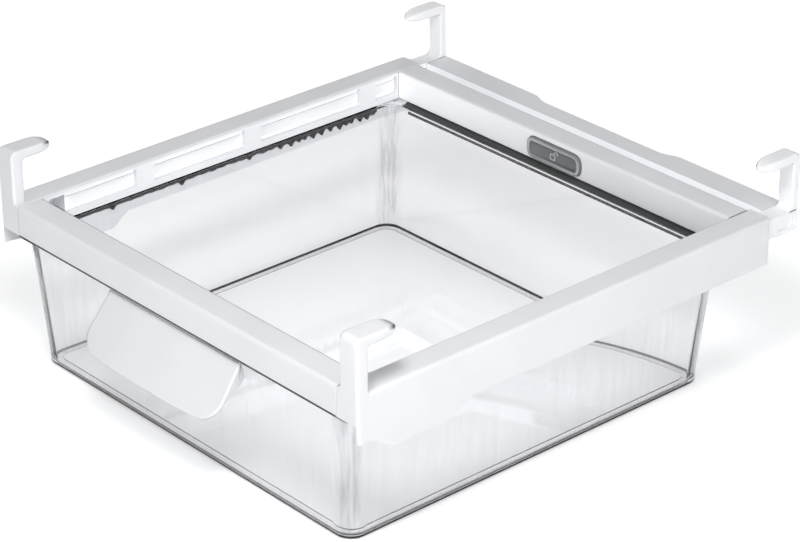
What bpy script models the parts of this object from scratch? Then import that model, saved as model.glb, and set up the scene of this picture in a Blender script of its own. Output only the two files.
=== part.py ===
"""Fridge drawer organizer: a clear drawer that hangs under a fridge shelf.

A white frame of four mouldings hooks over the front edge of a glass shelf. A rear
clamp with two more hooks slides back on arms inside the side rails, until it holds
the shelf's rear edge. A grey button in the back beam frees the clamp. The clear
drawer runs on flanges in slots of the side rails.

Design axes: x across, y back from the frame's front face, z up from the frame's top.
"""
import math

import bmesh
import bpy
from mathutils import Matrix, Vector

MM = 0.001

# Clearances and cutting
gap = 0.3 * MM
overrun = 2.0 * MM
weld_distance = 0.002 * MM
flat_angle = math.radians(0.05)
snap_grid = 0.0001 * MM
arc_steps = 4

# Frame
frame_width = 300.0 * MM
frame_depth = 291.0 * MM
frame_wall = 2.4 * MM
frame_edge_radius = 2.2 * MM
beam_height = 17.0 * MM
front_beam_width = 17.6 * MM
back_beam_width = 16.2 * MM
beam_rib = 1.6 * MM
beam_rib_inset = 1.0 * MM
front_beam_ribs = 6

# Side rails
rail_width = 16.0 * MM
rail_overhang = 0.6 * MM
rail_corner_radius = 4.5 * MM
skirt_depth = 27.0 * MM
lobe_drop = 7.5 * MM
lobe_start = 8.0 * MM
lobe_slope = 14.0 * MM
lobe_length = 40.0 * MM
lobe_slope_steps = 6
slot_height = 3.2 * MM
slot_floor = 2.2 * MM
chamber_floor = 2.2 * MM
slot_floor_start = 20.0 * MM
window_height = 11.0 * MM
window_top = 2.7 * MM
window_radius = 1.0 * MM
window_first = 21.0 * MM
window_rib = 12.0 * MM
window_rib_shares = (0.297, 0.563, 0.862)
window_rear_margin = 17.5 * MM

# Hooks
hook_height = 30.6 * MM
hook_gap = 25.2 * MM
hook_throat_radius = 2.5 * MM
front_top_radius = 4.0 * MM
lip_slope_run = 8.0 * MM
lip_slope_radius = 12.0 * MM
lip_nose_height = 2.5 * MM
lip_nose_radius = 1.4 * MM
lip_chin_radius = 1.2 * MM
front_post_width = 13.0 * MM
front_post_depth = 7.5 * MM
front_lip_reach = 28.4 * MM
front_lip_round = 9.5 * MM
rear_post_depth = 4.6 * MM
rear_lip_reach = 27.3 * MM
rear_lip_round = 13.0 * MM
rear_top_radius = 2.8 * MM
rear_throat_radius = 1.2 * MM
rear_post_fillet = 3.5 * MM
lip_round_steps = 8

# Corner screws and their lugs
screw_radius = 1.2 * MM
screw_head_radius = 2.6 * MM
screw_head_height = 1.7 * MM
screw_length = 7.5 * MM
screw_tip = 0.8 * MM
screw_sides = 12
lug_thickness = 2.4 * MM
lug_reach = 10.0 * MM
lug_screw_inset = 5.5 * MM
lug_top = 10.6 * MM
front_lug_width = 8.6 * MM
back_lug_width = 4.8 * MM
boss_wall = 1.3 * MM

# Rear clamp
clamp_gap = 8.3 * MM
clamp_depth = 24.5 * MM
plate_height = 11.0 * MM
plate_wall = 2.0 * MM
plate_waist = 3.8 * MM
plate_waist_half = 46.0 * MM
plate_wave = 14.0 * MM
plate_wave_steps = 6
plate_ribs = 7
arm_front = 33.0 * MM
arm_pocket_length = 22.0 * MM
arm_pocket_rib = 6.0 * MM
arm_pocket_depth = 7.5 * MM
arm_pocket_edge = 2.6 * MM
arm_pocket_count = 8
arm_channel_depth = 0.8 * MM
arm_flange = 3.1 * MM
block_pocket_depth = 2.0 * MM
block_pocket_edge = 1.8 * MM
block_pocket_start = 1.8 * MM
block_recess_depth = 0.8 * MM
tongue_reach = 5.0 * MM
tongue_thickness = 2.6 * MM
tongue_width = 7.0 * MM
tongue_depth_below_top = 3.4 * MM

# Lock
button_width = 43.2 * MM
button_height = 13.0 * MM
button_radius = 5.0 * MM
button_proud = 1.8 * MM
button_thickness = 2.8 * MM
button_chamfer = 0.7 * MM
button_rim = 1.5 * MM
button_dish = 1.2 * MM
button_dish_slope = 2.2 * MM
button_top = 2.9 * MM
button_travel = 2.6 * MM
flange_thickness = 1.5 * MM
flange_overlap = 2.2 * MM
flange_height = 4.2 * MM
cam_half_width = 20.0 * MM
cam_thickness = 2.0 * MM
cam_depth = 12.0 * MM
pin_radius = 1.1 * MM
pin_x = 14.0 * MM
pin_setback = 5.9 * MM
pin_height = 2.9 * MM
bar_start = 8.0 * MM
bar_width = 4.0 * MM
bar_thickness = 3.2 * MM
bar_under_cam = 0.4 * MM
bar_guide_shares = (0.3, 0.6, 0.86)
pad_thickness = 1.4 * MM
pad_neck = 2.0 * MM
spring_wire = 0.35 * MM
spring_radius = 1.9 * MM
spring_turns = 6
spring_points_per_turn = 9
spring_drop = 9.6 * MM

# Drawer
drawer_depth = 95.5 * MM
drawer_wall = 2.0 * MM
drawer_floor = 2.2 * MM
drawer_side_gap = 0.9 * MM
drawer_draft = 4.7 * MM
drawer_front = 3.9 * MM
drawer_front_draft = 5.2 * MM
drawer_rear_gap = 3.9 * MM
drawer_rear_draft = 8.3 * MM
drawer_corner_radius = 10.0 * MM
drawer_foot_width = 4.0 * MM
drawer_foot_height = 1.0 * MM
drawer_bottom_radius = 1.5 * MM
drawer_corner_steps = 6
runner_thickness = 2.0 * MM
runner_reach = 9.5 * MM
rim_front = 2.0 * MM
rim_rear = 6.5 * MM

# Drawer handle
handle_half_top = 55.0 * MM
handle_flare = 0.6 * MM
handle_length = 36.8 * MM
handle_bow = 2.2 * MM
handle_bow_shares = (-0.4, -0.2, 0.0, 0.2, 0.4)
handle_thickness = 2.6 * MM
handle_lean = math.radians(37.5)
handle_corner_radius = 15.5 * MM
handle_corner_steps = 6
handle_back_height = 10.5 * MM
handle_back_thickness = 2.2 * MM
handle_cheek = 2.2 * MM
handle_cheek_run = 17.0 * MM
handle_stand_off = 1.0 * MM
rivet_radius = 1.5 * MM
rivet_head_radius = 3.2 * MM
rivet_head_height = 1.2 * MM
rivet_x = 38.0 * MM

# Places worked out from the sizes above
rail_length = frame_depth + rail_overhang
half = frame_width / 2
inner = half - rail_width
wall_inner = inner + frame_wall
skirt_inner = half - frame_wall
slot_top = beam_height + gap
slot_bottom = slot_top + slot_height
chamber_top = frame_wall
chamber_bottom = slot_top - chamber_floor
back_beam_front = frame_depth - back_beam_width
clamp_front = frame_depth + clamp_gap
clamp_rear = clamp_front + clamp_depth - clamp_gap
arm_inner = wall_inner + gap
arm_outer = skirt_inner - gap
arm_top = -chamber_top - gap
arm_bottom = -chamber_bottom + gap
runner_bottom = -slot_bottom + gap
runner_top = runner_bottom + runner_thickness
drawer_top_half = wall_inner - drawer_side_gap
drawer_rear = back_beam_front - drawer_rear_gap
drawer_bottom = -drawer_depth
handle_top = runner_bottom - gap
cam_bottom = -(button_top + flange_height + gap / 2)
bar_top = cam_bottom - bar_under_cam
bar_front = back_beam_front + pin_setback - bar_width / 2
pad_tip = arm_inner + arm_channel_depth - gap

parts = bpy.data.collections.new("fridge_drawer_organizer")
cutters = bpy.data.collections.new("cutters")
root = bpy.data.objects.new("design_origin", None)

PAINTS = {
    "white_plastic": ((0.86, 0.87, 0.89), 0.38, 0.0),
    "clear_plastic": ((0.86, 0.89, 0.90), 0.06, 0.0),
    "grey_soft_plastic": ((0.28, 0.29, 0.30), 0.55, 0.0),
    "dark_rubber": ((0.05, 0.05, 0.05), 0.8, 0.0),
    "steel": ((0.6, 0.6, 0.6), 0.3, 1.0),
}


def clear_scene():
    """Remove what the file opened with, and link the two collections."""
    for obj in list(bpy.data.objects):
        if obj is not root:
            bpy.data.objects.remove(obj)
    bpy.context.scene.collection.children.link(parts)
    bpy.context.scene.collection.children.link(cutters)
    parts.objects.link(root)


def paint(name):
    """The Principled material of that name, made once."""
    if name in bpy.data.materials:
        return bpy.data.materials[name]
    colour, roughness, metallic = PAINTS[name]
    material = bpy.data.materials.new(name)
    material.use_nodes = True
    shader = material.node_tree.nodes["Principled BSDF"]
    shader.inputs["Base Color"].default_value = (*colour, 1.0)
    shader.inputs["Roughness"].default_value = roughness
    shader.inputs["Metallic"].default_value = metallic
    return material


def add_tool(name, mesh):
    """Put a mesh among the cutters, as a wire shape that isn't rendered."""
    obj = bpy.data.objects.new(name, mesh)
    cutters.objects.link(obj)
    obj.parent = root
    obj.hide_render = True
    obj.display_type = "WIRE"
    return obj


def make_part(obj, name, material):
    """Turn a shape into a piece of the product."""
    cutters.objects.unlink(obj)
    parts.objects.link(obj)
    obj.name = name
    obj.hide_render = False
    obj.display_type = "TEXTURED"
    obj.data.materials.append(paint(material))
    return obj


def combine(obj, tool, operation):
    """Add a live Boolean of the tool to the object."""
    boolean = obj.modifiers.new(operation.lower(), "BOOLEAN")
    boolean.operation = operation
    boolean.object = tool
    boolean.solver = "EXACT"
    return obj


def cut(obj, tool):
    return combine(obj, tool, "DIFFERENCE")


def add(obj, tool):
    return combine(obj, tool, "UNION")


def keep(obj, tool):
    return combine(obj, tool, "INTERSECT")


def box(low, high):
    """A box between two corners."""
    bm = bmesh.new()
    bmesh.ops.create_cube(bm, size=1.0)
    for vertex in bm.verts:
        ends = zip(low, high, vertex.co)
        vertex.co = [snap(max(a, b) if side > 0 else min(a, b)) for a, b, side in ends]
    mesh = bpy.data.meshes.new("box")
    bm.to_mesh(mesh)
    bm.free()
    return add_tool("box", mesh)


def rounded(corners, steps=arc_steps):
    """Points of a closed outline, from corners (a, b, radius), with arcs at the corners."""
    points = []
    count = len(corners)
    for index, (a, b, radius) in enumerate(corners):
        here = Vector((a, b))
        before = Vector(corners[index - 1][:2]) - here
        after = Vector(corners[(index + 1) % count][:2]) - here
        if radius <= 0:
            points.append(here)
            continue
        half_angle = before.angle(after) / 2
        setback = min(radius / math.tan(half_angle), 0.49 * before.length, 0.49 * after.length)
        radius = setback * math.tan(half_angle)
        middle = before.normalized() + after.normalized()
        centre = here + middle.normalized() * (radius / math.sin(half_angle))
        start = here + before.normalized() * setback - centre
        sweep = start.angle_signed(here + after.normalized() * setback - centre)
        for step in range(steps + 1):
            points.append(centre + Matrix.Rotation(-sweep * step / steps, 2) @ start)
    return points


def snap(value):
    """A length on a fine grid, so that faces meant to be flush are exactly flush."""
    return round(value / snap_grid) * snap_grid


def outline_solid(points, axis, low, high):
    """A flat outline in the plane across an axis, thickened from low to high along it."""
    curve = bpy.data.curves.new("outline", "CURVE")
    curve.dimensions = "2D"
    curve.fill_mode = "BOTH"
    curve.extrude = abs(high - low) / 2
    spline = curve.splines.new("POLY")
    spline.points.add(len(points) - 1)
    for knot, point in zip(spline.points, points):
        knot.co = (snap(point[0]), snap(point[1]), 0.0, 1.0)
    spline.use_cyclic_u = True
    mesh = curve_mesh(curve)
    ends = snap(min(low, high)), snap(max(low, high))
    for vertex in mesh.vertices:
        a, b, c = vertex.co
        level = ends[1] if c > 0 else ends[0]
        vertex.co = {"x": (level, a, b), "y": (a, level, b), "z": (a, b, level)}[axis]
    close_mesh(mesh)
    return add_tool("outline", mesh)


def curve_mesh(curve):
    """The mesh of a curve, with its doubled points welded."""
    guide = bpy.data.objects.new("outline", curve)
    cutters.objects.link(guide)
    bpy.context.view_layer.update()
    evaluated = guide.evaluated_get(bpy.context.evaluated_depsgraph_get())
    mesh = bpy.data.meshes.new_from_object(evaluated)
    bpy.data.objects.remove(guide)
    return mesh


def close_mesh(mesh):
    """Weld a mesh's doubled points, join its flat faces and turn it outwards."""
    bm = bmesh.new()
    bm.from_mesh(mesh)
    bmesh.ops.remove_doubles(bm, verts=bm.verts, dist=weld_distance)
    bmesh.ops.dissolve_limit(bm, angle_limit=flat_angle, verts=bm.verts, edges=bm.edges)
    bmesh.ops.recalc_face_normals(bm, faces=bm.faces)
    bm.to_mesh(mesh)
    bm.free()


def loft(rings):
    """A closed solid through rings of equally many points, capped at both ends."""
    bm = bmesh.new()
    loops = [[bm.verts.new([snap(value) for value in point]) for point in ring] for ring in rings]
    count = len(rings[0])
    for lower, upper in zip(loops, loops[1:]):
        for index in range(count):
            after = (index + 1) % count
            bm.faces.new((lower[index], lower[after], upper[after], upper[index]))
    bm.faces.new(loops[0])
    bm.faces.new(loops[-1])
    mesh = bpy.data.meshes.new("loft")
    bm.to_mesh(mesh)
    bm.free()
    close_mesh(mesh)
    return add_tool("loft", mesh)


def cylinder(radius, low, high, sides=screw_sides):
    """An upright cylinder between two points one above the other."""
    low, high = Vector(low), Vector(high)
    span = high - low
    bm = bmesh.new()
    place = Matrix.Translation((low + high) / 2) @ span.to_track_quat("Z", "Y").to_matrix().to_4x4()
    bmesh.ops.create_cone(bm, cap_ends=True, segments=sides, radius1=radius, radius2=radius,
                          depth=span.length, matrix=place)
    mesh = bpy.data.meshes.new("cylinder")
    bm.to_mesh(mesh)
    bm.free()
    return add_tool("cylinder", mesh)


def turned(profile, place, turn):
    """A turned piece: a profile of (radius, height), top to bottom, spun round its axis."""
    mesh = bpy.data.meshes.new("turned")
    points = [(radius, 0.0, height) for radius, height in profile]
    mesh.from_pydata(points, [(i, i + 1) for i in range(len(points) - 1)], [])
    obj = add_tool("turned", mesh)
    spin = obj.modifiers.new("spin", "SCREW")
    spin.steps = spin.render_steps = screw_sides
    spin.use_merge_vertices = True
    spin.merge_threshold = weld_distance
    obj.matrix_basis = Matrix.Translation(place) @ turn
    return obj


def s_curve(start, end, steps):
    """Points of a smooth step between two outline points, without its first point."""
    points = []
    for step in range(1, steps + 1):
        share = step / steps
        rise = (1 - math.cos(math.pi * share)) / 2
        points.append((start[0] + (end[0] - start[0]) * share, start[1] + (end[1] - start[1]) * rise))
    return points


def skirt_line():
    """The rail's lower edge from front to rear: a deeper lobe just behind the front."""
    low = -skirt_depth
    deep = low - lobe_drop
    lobe_in = lobe_start + lobe_slope
    lobe_out = lobe_in + lobe_length
    points = [(0.0, low), (lobe_start, low)]
    points += s_curve((lobe_start, low), (lobe_in, deep), lobe_slope_steps)
    points += [(lobe_out, deep)]
    points += s_curve((lobe_out, deep), (lobe_out + lobe_slope, low), lobe_slope_steps)
    points += [(rail_length, low)]
    return points


def lip_plan(inside, outside, root_y, tip_y, round_length):
    """Plan outline of a hook's lip: straight sides and a half-ellipse for its end."""
    centre = (inside + outside) / 2
    reach = (outside - inside) / 2
    direction = 1 if tip_y > root_y else -1
    base_y = tip_y - direction * round_length
    points = [(outside, root_y), (inside, root_y)]
    for step in range(lip_round_steps + 1):
        angle = math.pi * step / lip_round_steps
        points.append((centre - reach * math.cos(angle), base_y + direction * round_length * math.sin(angle)))
    return points


def front_hook(side):
    """Post and lip at the rail's front end, the lip pointing back over the shelf."""
    outside = side * half
    inside = side * (half - front_post_width)
    profile = rounded([
        (0.0, -beam_height, 0.0),
        (0.0, hook_height, front_top_radius),
        (front_lip_reach - lip_slope_run, hook_height, lip_slope_radius),
        (front_lip_reach, hook_gap + lip_nose_height, lip_nose_radius),
        (front_lip_reach, hook_gap, lip_chin_radius),
        (front_post_depth, hook_gap, hook_throat_radius),
        (front_post_depth, -beam_height, 0.0),
    ])
    hook = outline_solid(profile, "x", inside, outside)
    plan = lip_plan(inside, outside, -overrun, front_lip_reach, front_lip_round)
    return keep(hook, outline_solid(plan, "z", -beam_height - overrun, hook_height + overrun))


def side_rail(name, side):
    """One side of the frame: hook, arm chamber, drawer slot and skirt in one moulding."""
    profile = [(rail_length, 0.0), (0.0, 0.0)] + skirt_line()
    rail = outline_solid(profile, "x", side * inner, side * half)
    section = rounded([
        (side * inner, 0.0, frame_edge_radius / 2),
        (side * half, 0.0, frame_edge_radius),
        (side * half, -skirt_depth - lobe_drop - overrun, 0.0),
        (side * inner, -skirt_depth - lobe_drop - overrun, 0.0),
    ])
    keep(rail, outline_solid(section, "y", -overrun, rail_length + overrun))
    add(rail, front_hook(side))
    plan = rounded([
        (side * (inner - overrun), 0.0, 0.0),
        (side * half, 0.0, rail_corner_radius),
        (side * half, rail_length, frame_edge_radius),
        (side * (inner - overrun), rail_length, 0.0),
    ])
    keep(rail, outline_solid(plan, "z", -skirt_depth - lobe_drop - overrun, hook_height + overrun))
    far = rail_length + overrun
    near = side * (inner - overrun)
    deep = -skirt_depth - lobe_drop - overrun
    skirt = side * skirt_inner
    wall = side * wall_inner
    cut(rail, box((wall, slot_floor_start, -chamber_top), (skirt, far, -chamber_bottom)))
    cut(rail, box((near, -overrun, -slot_top), (skirt, far, -slot_bottom)))
    cut(rail, box((near, -overrun, -slot_bottom + overrun / 2), (skirt, slot_floor_start, deep)))
    cut(rail, box((near, slot_floor_start - overrun, -slot_bottom + overrun / 2), (wall, far, deep)))
    cut(rail, box((wall + side * frame_wall, slot_floor_start - overrun, -slot_bottom - slot_floor),
                  (skirt, rail_length - frame_wall, deep)))
    ribs = [share * frame_depth for share in window_rib_shares]
    starts = [window_first] + [place + window_rib / 2 for place in ribs]
    ends = [place - window_rib / 2 for place in ribs] + [frame_depth - window_rear_margin]
    for start, end in zip(starts, ends):
        pane = rounded([
            (start, -window_top, window_radius),
            (end, -window_top, window_radius),
            (end, -window_top - window_height, window_radius),
            (start, -window_top - window_height, window_radius),
        ])
        cut(rail, outline_solid(pane, "x", near, side * (wall_inner + overrun / 2)))
    hole = gap + bar_width
    cut(rail, box((near, bar_front - gap, bar_top + gap),
                  (side * (wall_inner + overrun / 2), bar_front + hole, bar_top - bar_thickness - gap)))
    for middle, width in lug_places():
        lug = box((side * (inner - lug_reach), middle - width / 2, -lug_top),
                  (side * (inner + frame_wall / 2), middle + width / 2, -lug_top - lug_thickness))
        add(rail, lug)
        hole_x = side * (inner - lug_screw_inset)
        cut(rail, cylinder(screw_radius + gap, (hole_x, middle, -lug_top + overrun),
                           (hole_x, middle, -lug_top - lug_thickness - overrun)))
    return make_part(rail, name, "white_plastic")


def lug_places():
    """Middle and width, along y, of a rail's front and back lugs."""
    back = frame_depth - frame_wall - gap - back_lug_width / 2
    return [(front_beam_width / 2, front_lug_width), (back, back_lug_width)]


def beam(name, front, rear):
    """An upturned channel across the frame, with screw bosses at its ends."""
    section = rounded([
        (front, 0.0, frame_edge_radius),
        (rear, 0.0, frame_edge_radius),
        (rear, -beam_height, 0.0),
        (rear - frame_wall, -beam_height, 0.0),
        (rear - frame_wall, -frame_wall, 0.0),
        (front + frame_wall, -frame_wall, 0.0),
        (front + frame_wall, -beam_height, 0.0),
        (front, -beam_height, 0.0),
    ])
    end = inner - gap
    return outline_solid(section, "x", -end, end)


def beam_bosses(obj, middle):
    """Bosses that take the corner screws, one at each end of a beam."""
    for side in (-1, 1):
        boss_x = side * (inner - lug_screw_inset)
        foot = (boss_x, middle, -lug_top + gap)
        add(obj, cylinder(screw_radius + gap + boss_wall, foot, (boss_x, middle, -frame_wall / 2)))
    for side in (-1, 1):
        boss_x = side * (inner - lug_screw_inset)
        cut(obj, cylinder(screw_radius + gap, (boss_x, middle, -lug_top - overrun),
                          (boss_x, middle, -lug_top + screw_length)))


def front_beam():
    obj = beam("front_beam", 0.0, front_beam_width)
    reach = inner - lug_reach - beam_rib
    for index in range(front_beam_ribs):
        rib_x = -reach + 2 * reach * (index + 0.5) / front_beam_ribs
        add(obj, box((rib_x - beam_rib / 2, frame_wall / 2, -frame_wall / 2),
                     (rib_x + beam_rib / 2, front_beam_width - frame_wall / 2, beam_rib_inset - beam_height)))
    beam_bosses(obj, lug_places()[0][0])
    return make_part(obj, "front_beam", "white_plastic")


def back_beam():
    """The rear channel, with the button's window and guides for the lock bars."""
    obj = beam("back_beam", back_beam_front, frame_depth)
    for guide_x in [side * share * inner for share in bar_guide_shares for side in (-1, 1)]:
        add(obj, box((guide_x - beam_rib / 2, back_beam_front + frame_wall / 2, -frame_wall / 2),
                     (guide_x + beam_rib / 2, frame_depth - frame_wall / 2, beam_rib_inset - beam_height)))
    for side in (-1, 1):
        near = min(bar_guide_shares) * inner - overrun
        cut(obj, box((side * near, bar_front - gap, bar_top + gap),
                     (side * (inner + overrun), bar_front + bar_width + gap, bar_top - bar_thickness - gap)))
    window = button_ring(gap, 0.0)
    points = [(point[0], point[2]) for point in window]
    cut(obj, outline_solid(points, "y", back_beam_front - overrun, back_beam_front + frame_wall + overrun / 2))
    beam_bosses(obj, lug_places()[1][0])
    return make_part(obj, "back_beam", "white_plastic")


def corner_screws():
    """A pan-head screw up through each rail lug into the beam's boss."""
    top = -lug_top + screw_length - lug_thickness - gap
    head = -lug_top - lug_thickness - gap
    for end, (middle, width) in zip(("front", "back"), lug_places()):
        for label, side in (("left", -1), ("right", 1)):
            profile = [
                (0.0, top),
                (screw_radius - screw_radius / 3, top),
                (screw_radius, top - screw_tip),
                (screw_radius, head),
                (screw_head_radius, head),
                (screw_head_radius, head - screw_head_height / 2),
                (screw_head_radius - screw_head_height / 2, head - screw_head_height),
                (0.0, head - screw_head_height),
            ]
            place = (side * (inner - lug_screw_inset), middle, 0.0)
            obj = turned(profile, place, Matrix.Identity(4))
            make_part(obj, f"corner_screw_{end}_{label}", "steel")


def plate_outline(inset):
    """Plan outline of the rear plate, drawn in by inset; its rear edge has a waist."""
    reach = arm_inner - gap - inset
    front = clamp_front + inset
    rear = clamp_rear - inset
    waist = rear - plate_waist
    wave_in = plate_waist_half
    wave_out = plate_waist_half + plate_wave
    points = [(-reach, front), (reach, front), (reach, rear), (wave_out, rear)]
    points += s_curve((wave_out, rear), (wave_in, waist), plate_wave_steps)
    points += [(-wave_in, waist)]
    points += s_curve((-wave_in, waist), (-wave_out, rear), plate_wave_steps)
    points += [(-reach, rear)]
    return points


def rear_plate():
    """The clamp's cross piece: a shallow cover, ribbed below, with a tongue at each end."""
    top = arm_top
    low = top - plate_height
    obj = outline_solid(plate_outline(0.0), "z", low, top)
    cut(obj, outline_solid(plate_outline(plate_wall), "z", low - overrun, top - plate_wall))
    reach = arm_inner - gap - plate_wall
    for index in range(plate_ribs):
        rib_x = -reach + 2 * reach * (index + 0.5) / plate_ribs
        add(obj, box((rib_x - beam_rib / 2, clamp_front + plate_wall / 2, top - plate_wall / 2),
                     (rib_x + beam_rib / 2, clamp_rear - plate_waist - plate_wall / 2, low + beam_rib_inset)))
    for side in (-1, 1):
        add(obj, tongue(side, 0.0))
        hole_x, hole_y = tongue_screw(side)
        cut(obj, cylinder(screw_radius + gap, (hole_x, hole_y, top - plate_height),
                          (hole_x, hole_y, top)))
    return make_part(obj, "rear_plate", "white_plastic")


def tongue(side, clearance):
    """The tongue at one end of the plate, grown by a clearance to cut its socket."""
    top = arm_top - tongue_depth_below_top + clearance
    middle = (clamp_front + clamp_rear) / 2 - plate_waist / 2
    low_y = middle - tongue_width / 2 - clearance
    high_y = middle + tongue_width / 2 + clearance
    start = arm_inner - gap - plate_wall / 2 if clearance == 0 else arm_inner - overrun
    return box((side * start, low_y, top),
               (side * (arm_inner + tongue_reach + clearance), high_y,
                top - tongue_thickness - 2 * clearance))


def tongue_screw(side):
    middle = (clamp_front + clamp_rear) / 2 - plate_waist / 2
    return side * (arm_inner + tongue_reach / 2), middle


def rear_bracket(name, side):
    """Arm, block, post and lip of one rear hook in one moulding."""
    rear = clamp_rear
    post_front = rear - rear_post_depth
    tip = rear - rear_lip_reach
    profile = rounded([
        (arm_front, arm_top, arm_pocket_edge / 2),
        (post_front, arm_top, rear_post_fillet),
        (post_front, hook_gap, rear_throat_radius),
        (tip, hook_gap, lip_chin_radius),
        (tip, hook_gap + lip_nose_height, lip_nose_radius),
        (tip + lip_slope_run, hook_height, lip_slope_radius),
        (rear, hook_height, rear_top_radius),
        (rear, arm_bottom, 0.0),
        (arm_front, arm_bottom, arm_pocket_edge / 2),
    ], steps=arc_steps + 1)
    obj = outline_solid(profile, "x", side * arm_inner, side * arm_outer)
    plan = lip_plan(side * arm_inner, side * arm_outer, rear + overrun, tip, rear_lip_round)
    lip_shape = outline_solid(plan, "z", arm_top + overrun, hook_height + overrun)
    base = box((side * arm_inner - side * overrun, arm_front - overrun, arm_top + 2 * overrun),
               (side * arm_outer + side * overrun, rear + overrun, arm_bottom - overrun))
    keep(obj, add(lip_shape, base))
    outer = side * (arm_outer + overrun)
    pitch = arm_pocket_length + arm_pocket_rib
    for index in range(arm_pocket_count):
        start = arm_front + arm_pocket_rib + index * pitch
        cut(obj, box((side * (arm_outer - arm_pocket_depth), start, arm_top - arm_pocket_edge),
                     (outer, start + arm_pocket_length, arm_bottom + arm_pocket_edge)))
    under_slab = arm_top - arm_pocket_edge
    cut(obj, box((side * (arm_outer - block_pocket_depth), clamp_front + block_pocket_start, under_slab),
                 (outer, rear - block_pocket_edge, arm_bottom + block_pocket_edge)))
    cut(obj, box((side * (arm_outer - block_recess_depth), back_beam_front, under_slab),
                 (outer, clamp_front, arm_bottom - overrun)))
    cut(obj, box((side * (arm_inner - overrun), arm_front + arm_pocket_edge, arm_top - arm_flange),
                 (side * (arm_inner + arm_channel_depth), clamp_front - arm_pocket_edge,
                  arm_bottom + arm_pocket_edge)))
    cut(obj, tongue(side, gap))
    hole_x, hole_y = tongue_screw(side)
    cut(obj, cylinder(screw_radius + gap, (hole_x, hole_y, arm_bottom - overrun),
                      (hole_x, hole_y, arm_top - tongue_depth_below_top)))
    cut(obj, cylinder(screw_head_radius + gap, (hole_x, hole_y, arm_bottom - overrun),
                      (hole_x, hole_y, arm_bottom + screw_head_height)))
    return make_part(obj, name, "white_plastic")


def bracket_screws():
    """A screw up through each bracket into the plate's tongue."""
    head = arm_bottom + screw_head_height - gap
    top = arm_top - tongue_depth_below_top - gap
    for label, side in (("left", -1), ("right", 1)):
        profile = [
            (0.0, top),
            (screw_radius, top),
            (screw_radius, head),
            (screw_head_radius, head),
            (screw_head_radius, head - screw_head_height / 2),
            (screw_head_radius - screw_head_height / 2, head - screw_head_height + gap),
            (0.0, head - screw_head_height + gap),
        ]
        place = (*tongue_screw(side), 0.0)
        make_part(turned(profile, place, Matrix.Identity(4)), f"bracket_screw_{label}", "steel")


def button_ring(growth, y):
    """A rounded oblong across y, the button's outline grown by an amount."""
    reach = button_width / 2 + growth
    top = -button_top + growth
    low = -button_top - button_height - growth
    radius = max(button_radius + growth, button_rim / 2)
    corners = [(-reach, low, radius), (reach, low, radius), (reach, top, radius), (-reach, top, radius)]
    return [(point[0], y, point[1]) for point in rounded(corners, steps=arc_steps + 1)]


def lock_button():
    """The press button: a dished pad, a flange that holds it in, and a cam plate behind."""
    front = back_beam_front - button_proud
    rear = front + button_thickness
    obj = loft([
        button_ring(0.0, rear),
        button_ring(0.0, front + button_chamfer),
        button_ring(-button_chamfer, front),
        button_ring(-button_chamfer - button_rim, front),
        button_ring(-button_chamfer - button_rim - button_dish_slope, front + button_dish),
    ])
    behind_wall = back_beam_front + frame_wall + gap
    top = -button_top - gap / 2
    reach = button_width / 2
    neck = box((-reach + button_radius, rear - overrun / 2, top),
               (reach - button_radius, behind_wall + flange_thickness, cam_bottom))
    flange = box((-reach - flange_overlap, behind_wall, top),
                 (reach + flange_overlap, behind_wall + flange_thickness, cam_bottom))
    cam = box((-cam_half_width, behind_wall, cam_bottom + cam_thickness),
              (cam_half_width, back_beam_front + cam_depth - button_travel, cam_bottom))
    add(obj, neck)
    add(obj, flange)
    add(obj, cam)
    pin_y = back_beam_front + pin_setback
    for side in (-1, 1):
        start = Vector((side * pin_x, pin_y))
        end = start - Vector((side * button_travel, button_travel))
        slot = capsule(start, end, pin_radius + gap)
        cut(obj, outline_solid(slot, "z", cam_bottom - overrun, bar_top + pin_height + gap))
    return make_part(obj, "lock_button", "grey_soft_plastic")


def capsule(start, end, radius):
    """Outline of a slot with round ends between two points."""
    along = (end - start).normalized()
    heading = math.atan2(along.y, along.x)
    points = []
    for centre, turn in ((start, math.pi / 2), (end, -math.pi / 2)):
        for step in range(2 * arc_steps + 1):
            angle = heading + turn + math.pi * step / (2 * arc_steps)
            points.append(centre + radius * Vector((math.cos(angle), math.sin(angle))))
    return points


def button_spring():
    """The coil that pushes the button out, between its pad and the beam's rear wall."""
    start = back_beam_front - button_proud + button_thickness + gap + spring_wire
    end = frame_depth - frame_wall - gap - spring_wire
    centre_z = -button_top - spring_drop
    curve = bpy.data.curves.new("button_spring", "CURVE")
    curve.dimensions = "3D"
    curve.bevel_depth = spring_wire
    curve.bevel_resolution = 1
    curve.use_fill_caps = True
    count = spring_turns * spring_points_per_turn
    spline = curve.splines.new("POLY")
    spline.points.add(count)
    for index, knot in enumerate(spline.points):
        angle = 2 * math.pi * index / spring_points_per_turn
        along = start + (end - start) * index / count
        knot.co = (spring_radius * math.cos(angle), along, centre_z + spring_radius * math.sin(angle), 1.0)
    mesh = curve_mesh(curve)
    close_mesh(mesh)
    return make_part(add_tool("button_spring", mesh), "button_spring", "steel")


def lock_bar(name, side):
    """A bar from the button's cam to the arm, with a pin up through the cam slot."""
    tip = pad_tip - pad_thickness
    obj = box((side * bar_start, bar_front, bar_top),
              (side * tip, bar_front + bar_width, bar_top - bar_thickness))
    pin_y = back_beam_front + pin_setback
    pin = cylinder(pin_radius, (side * pin_x, pin_y, bar_top - bar_thickness / 2),
                   (side * pin_x, pin_y, bar_top + pin_height))
    add(obj, pin)
    inset = (bar_width - pad_neck) / 2
    cut(obj, box((side * (tip - pad_neck), bar_front + inset - gap, bar_top + overrun),
                 (side * (tip + overrun), bar_front + bar_width - inset + gap, bar_top - bar_thickness - overrun)))
    return make_part(obj, name, "white_plastic")


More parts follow.
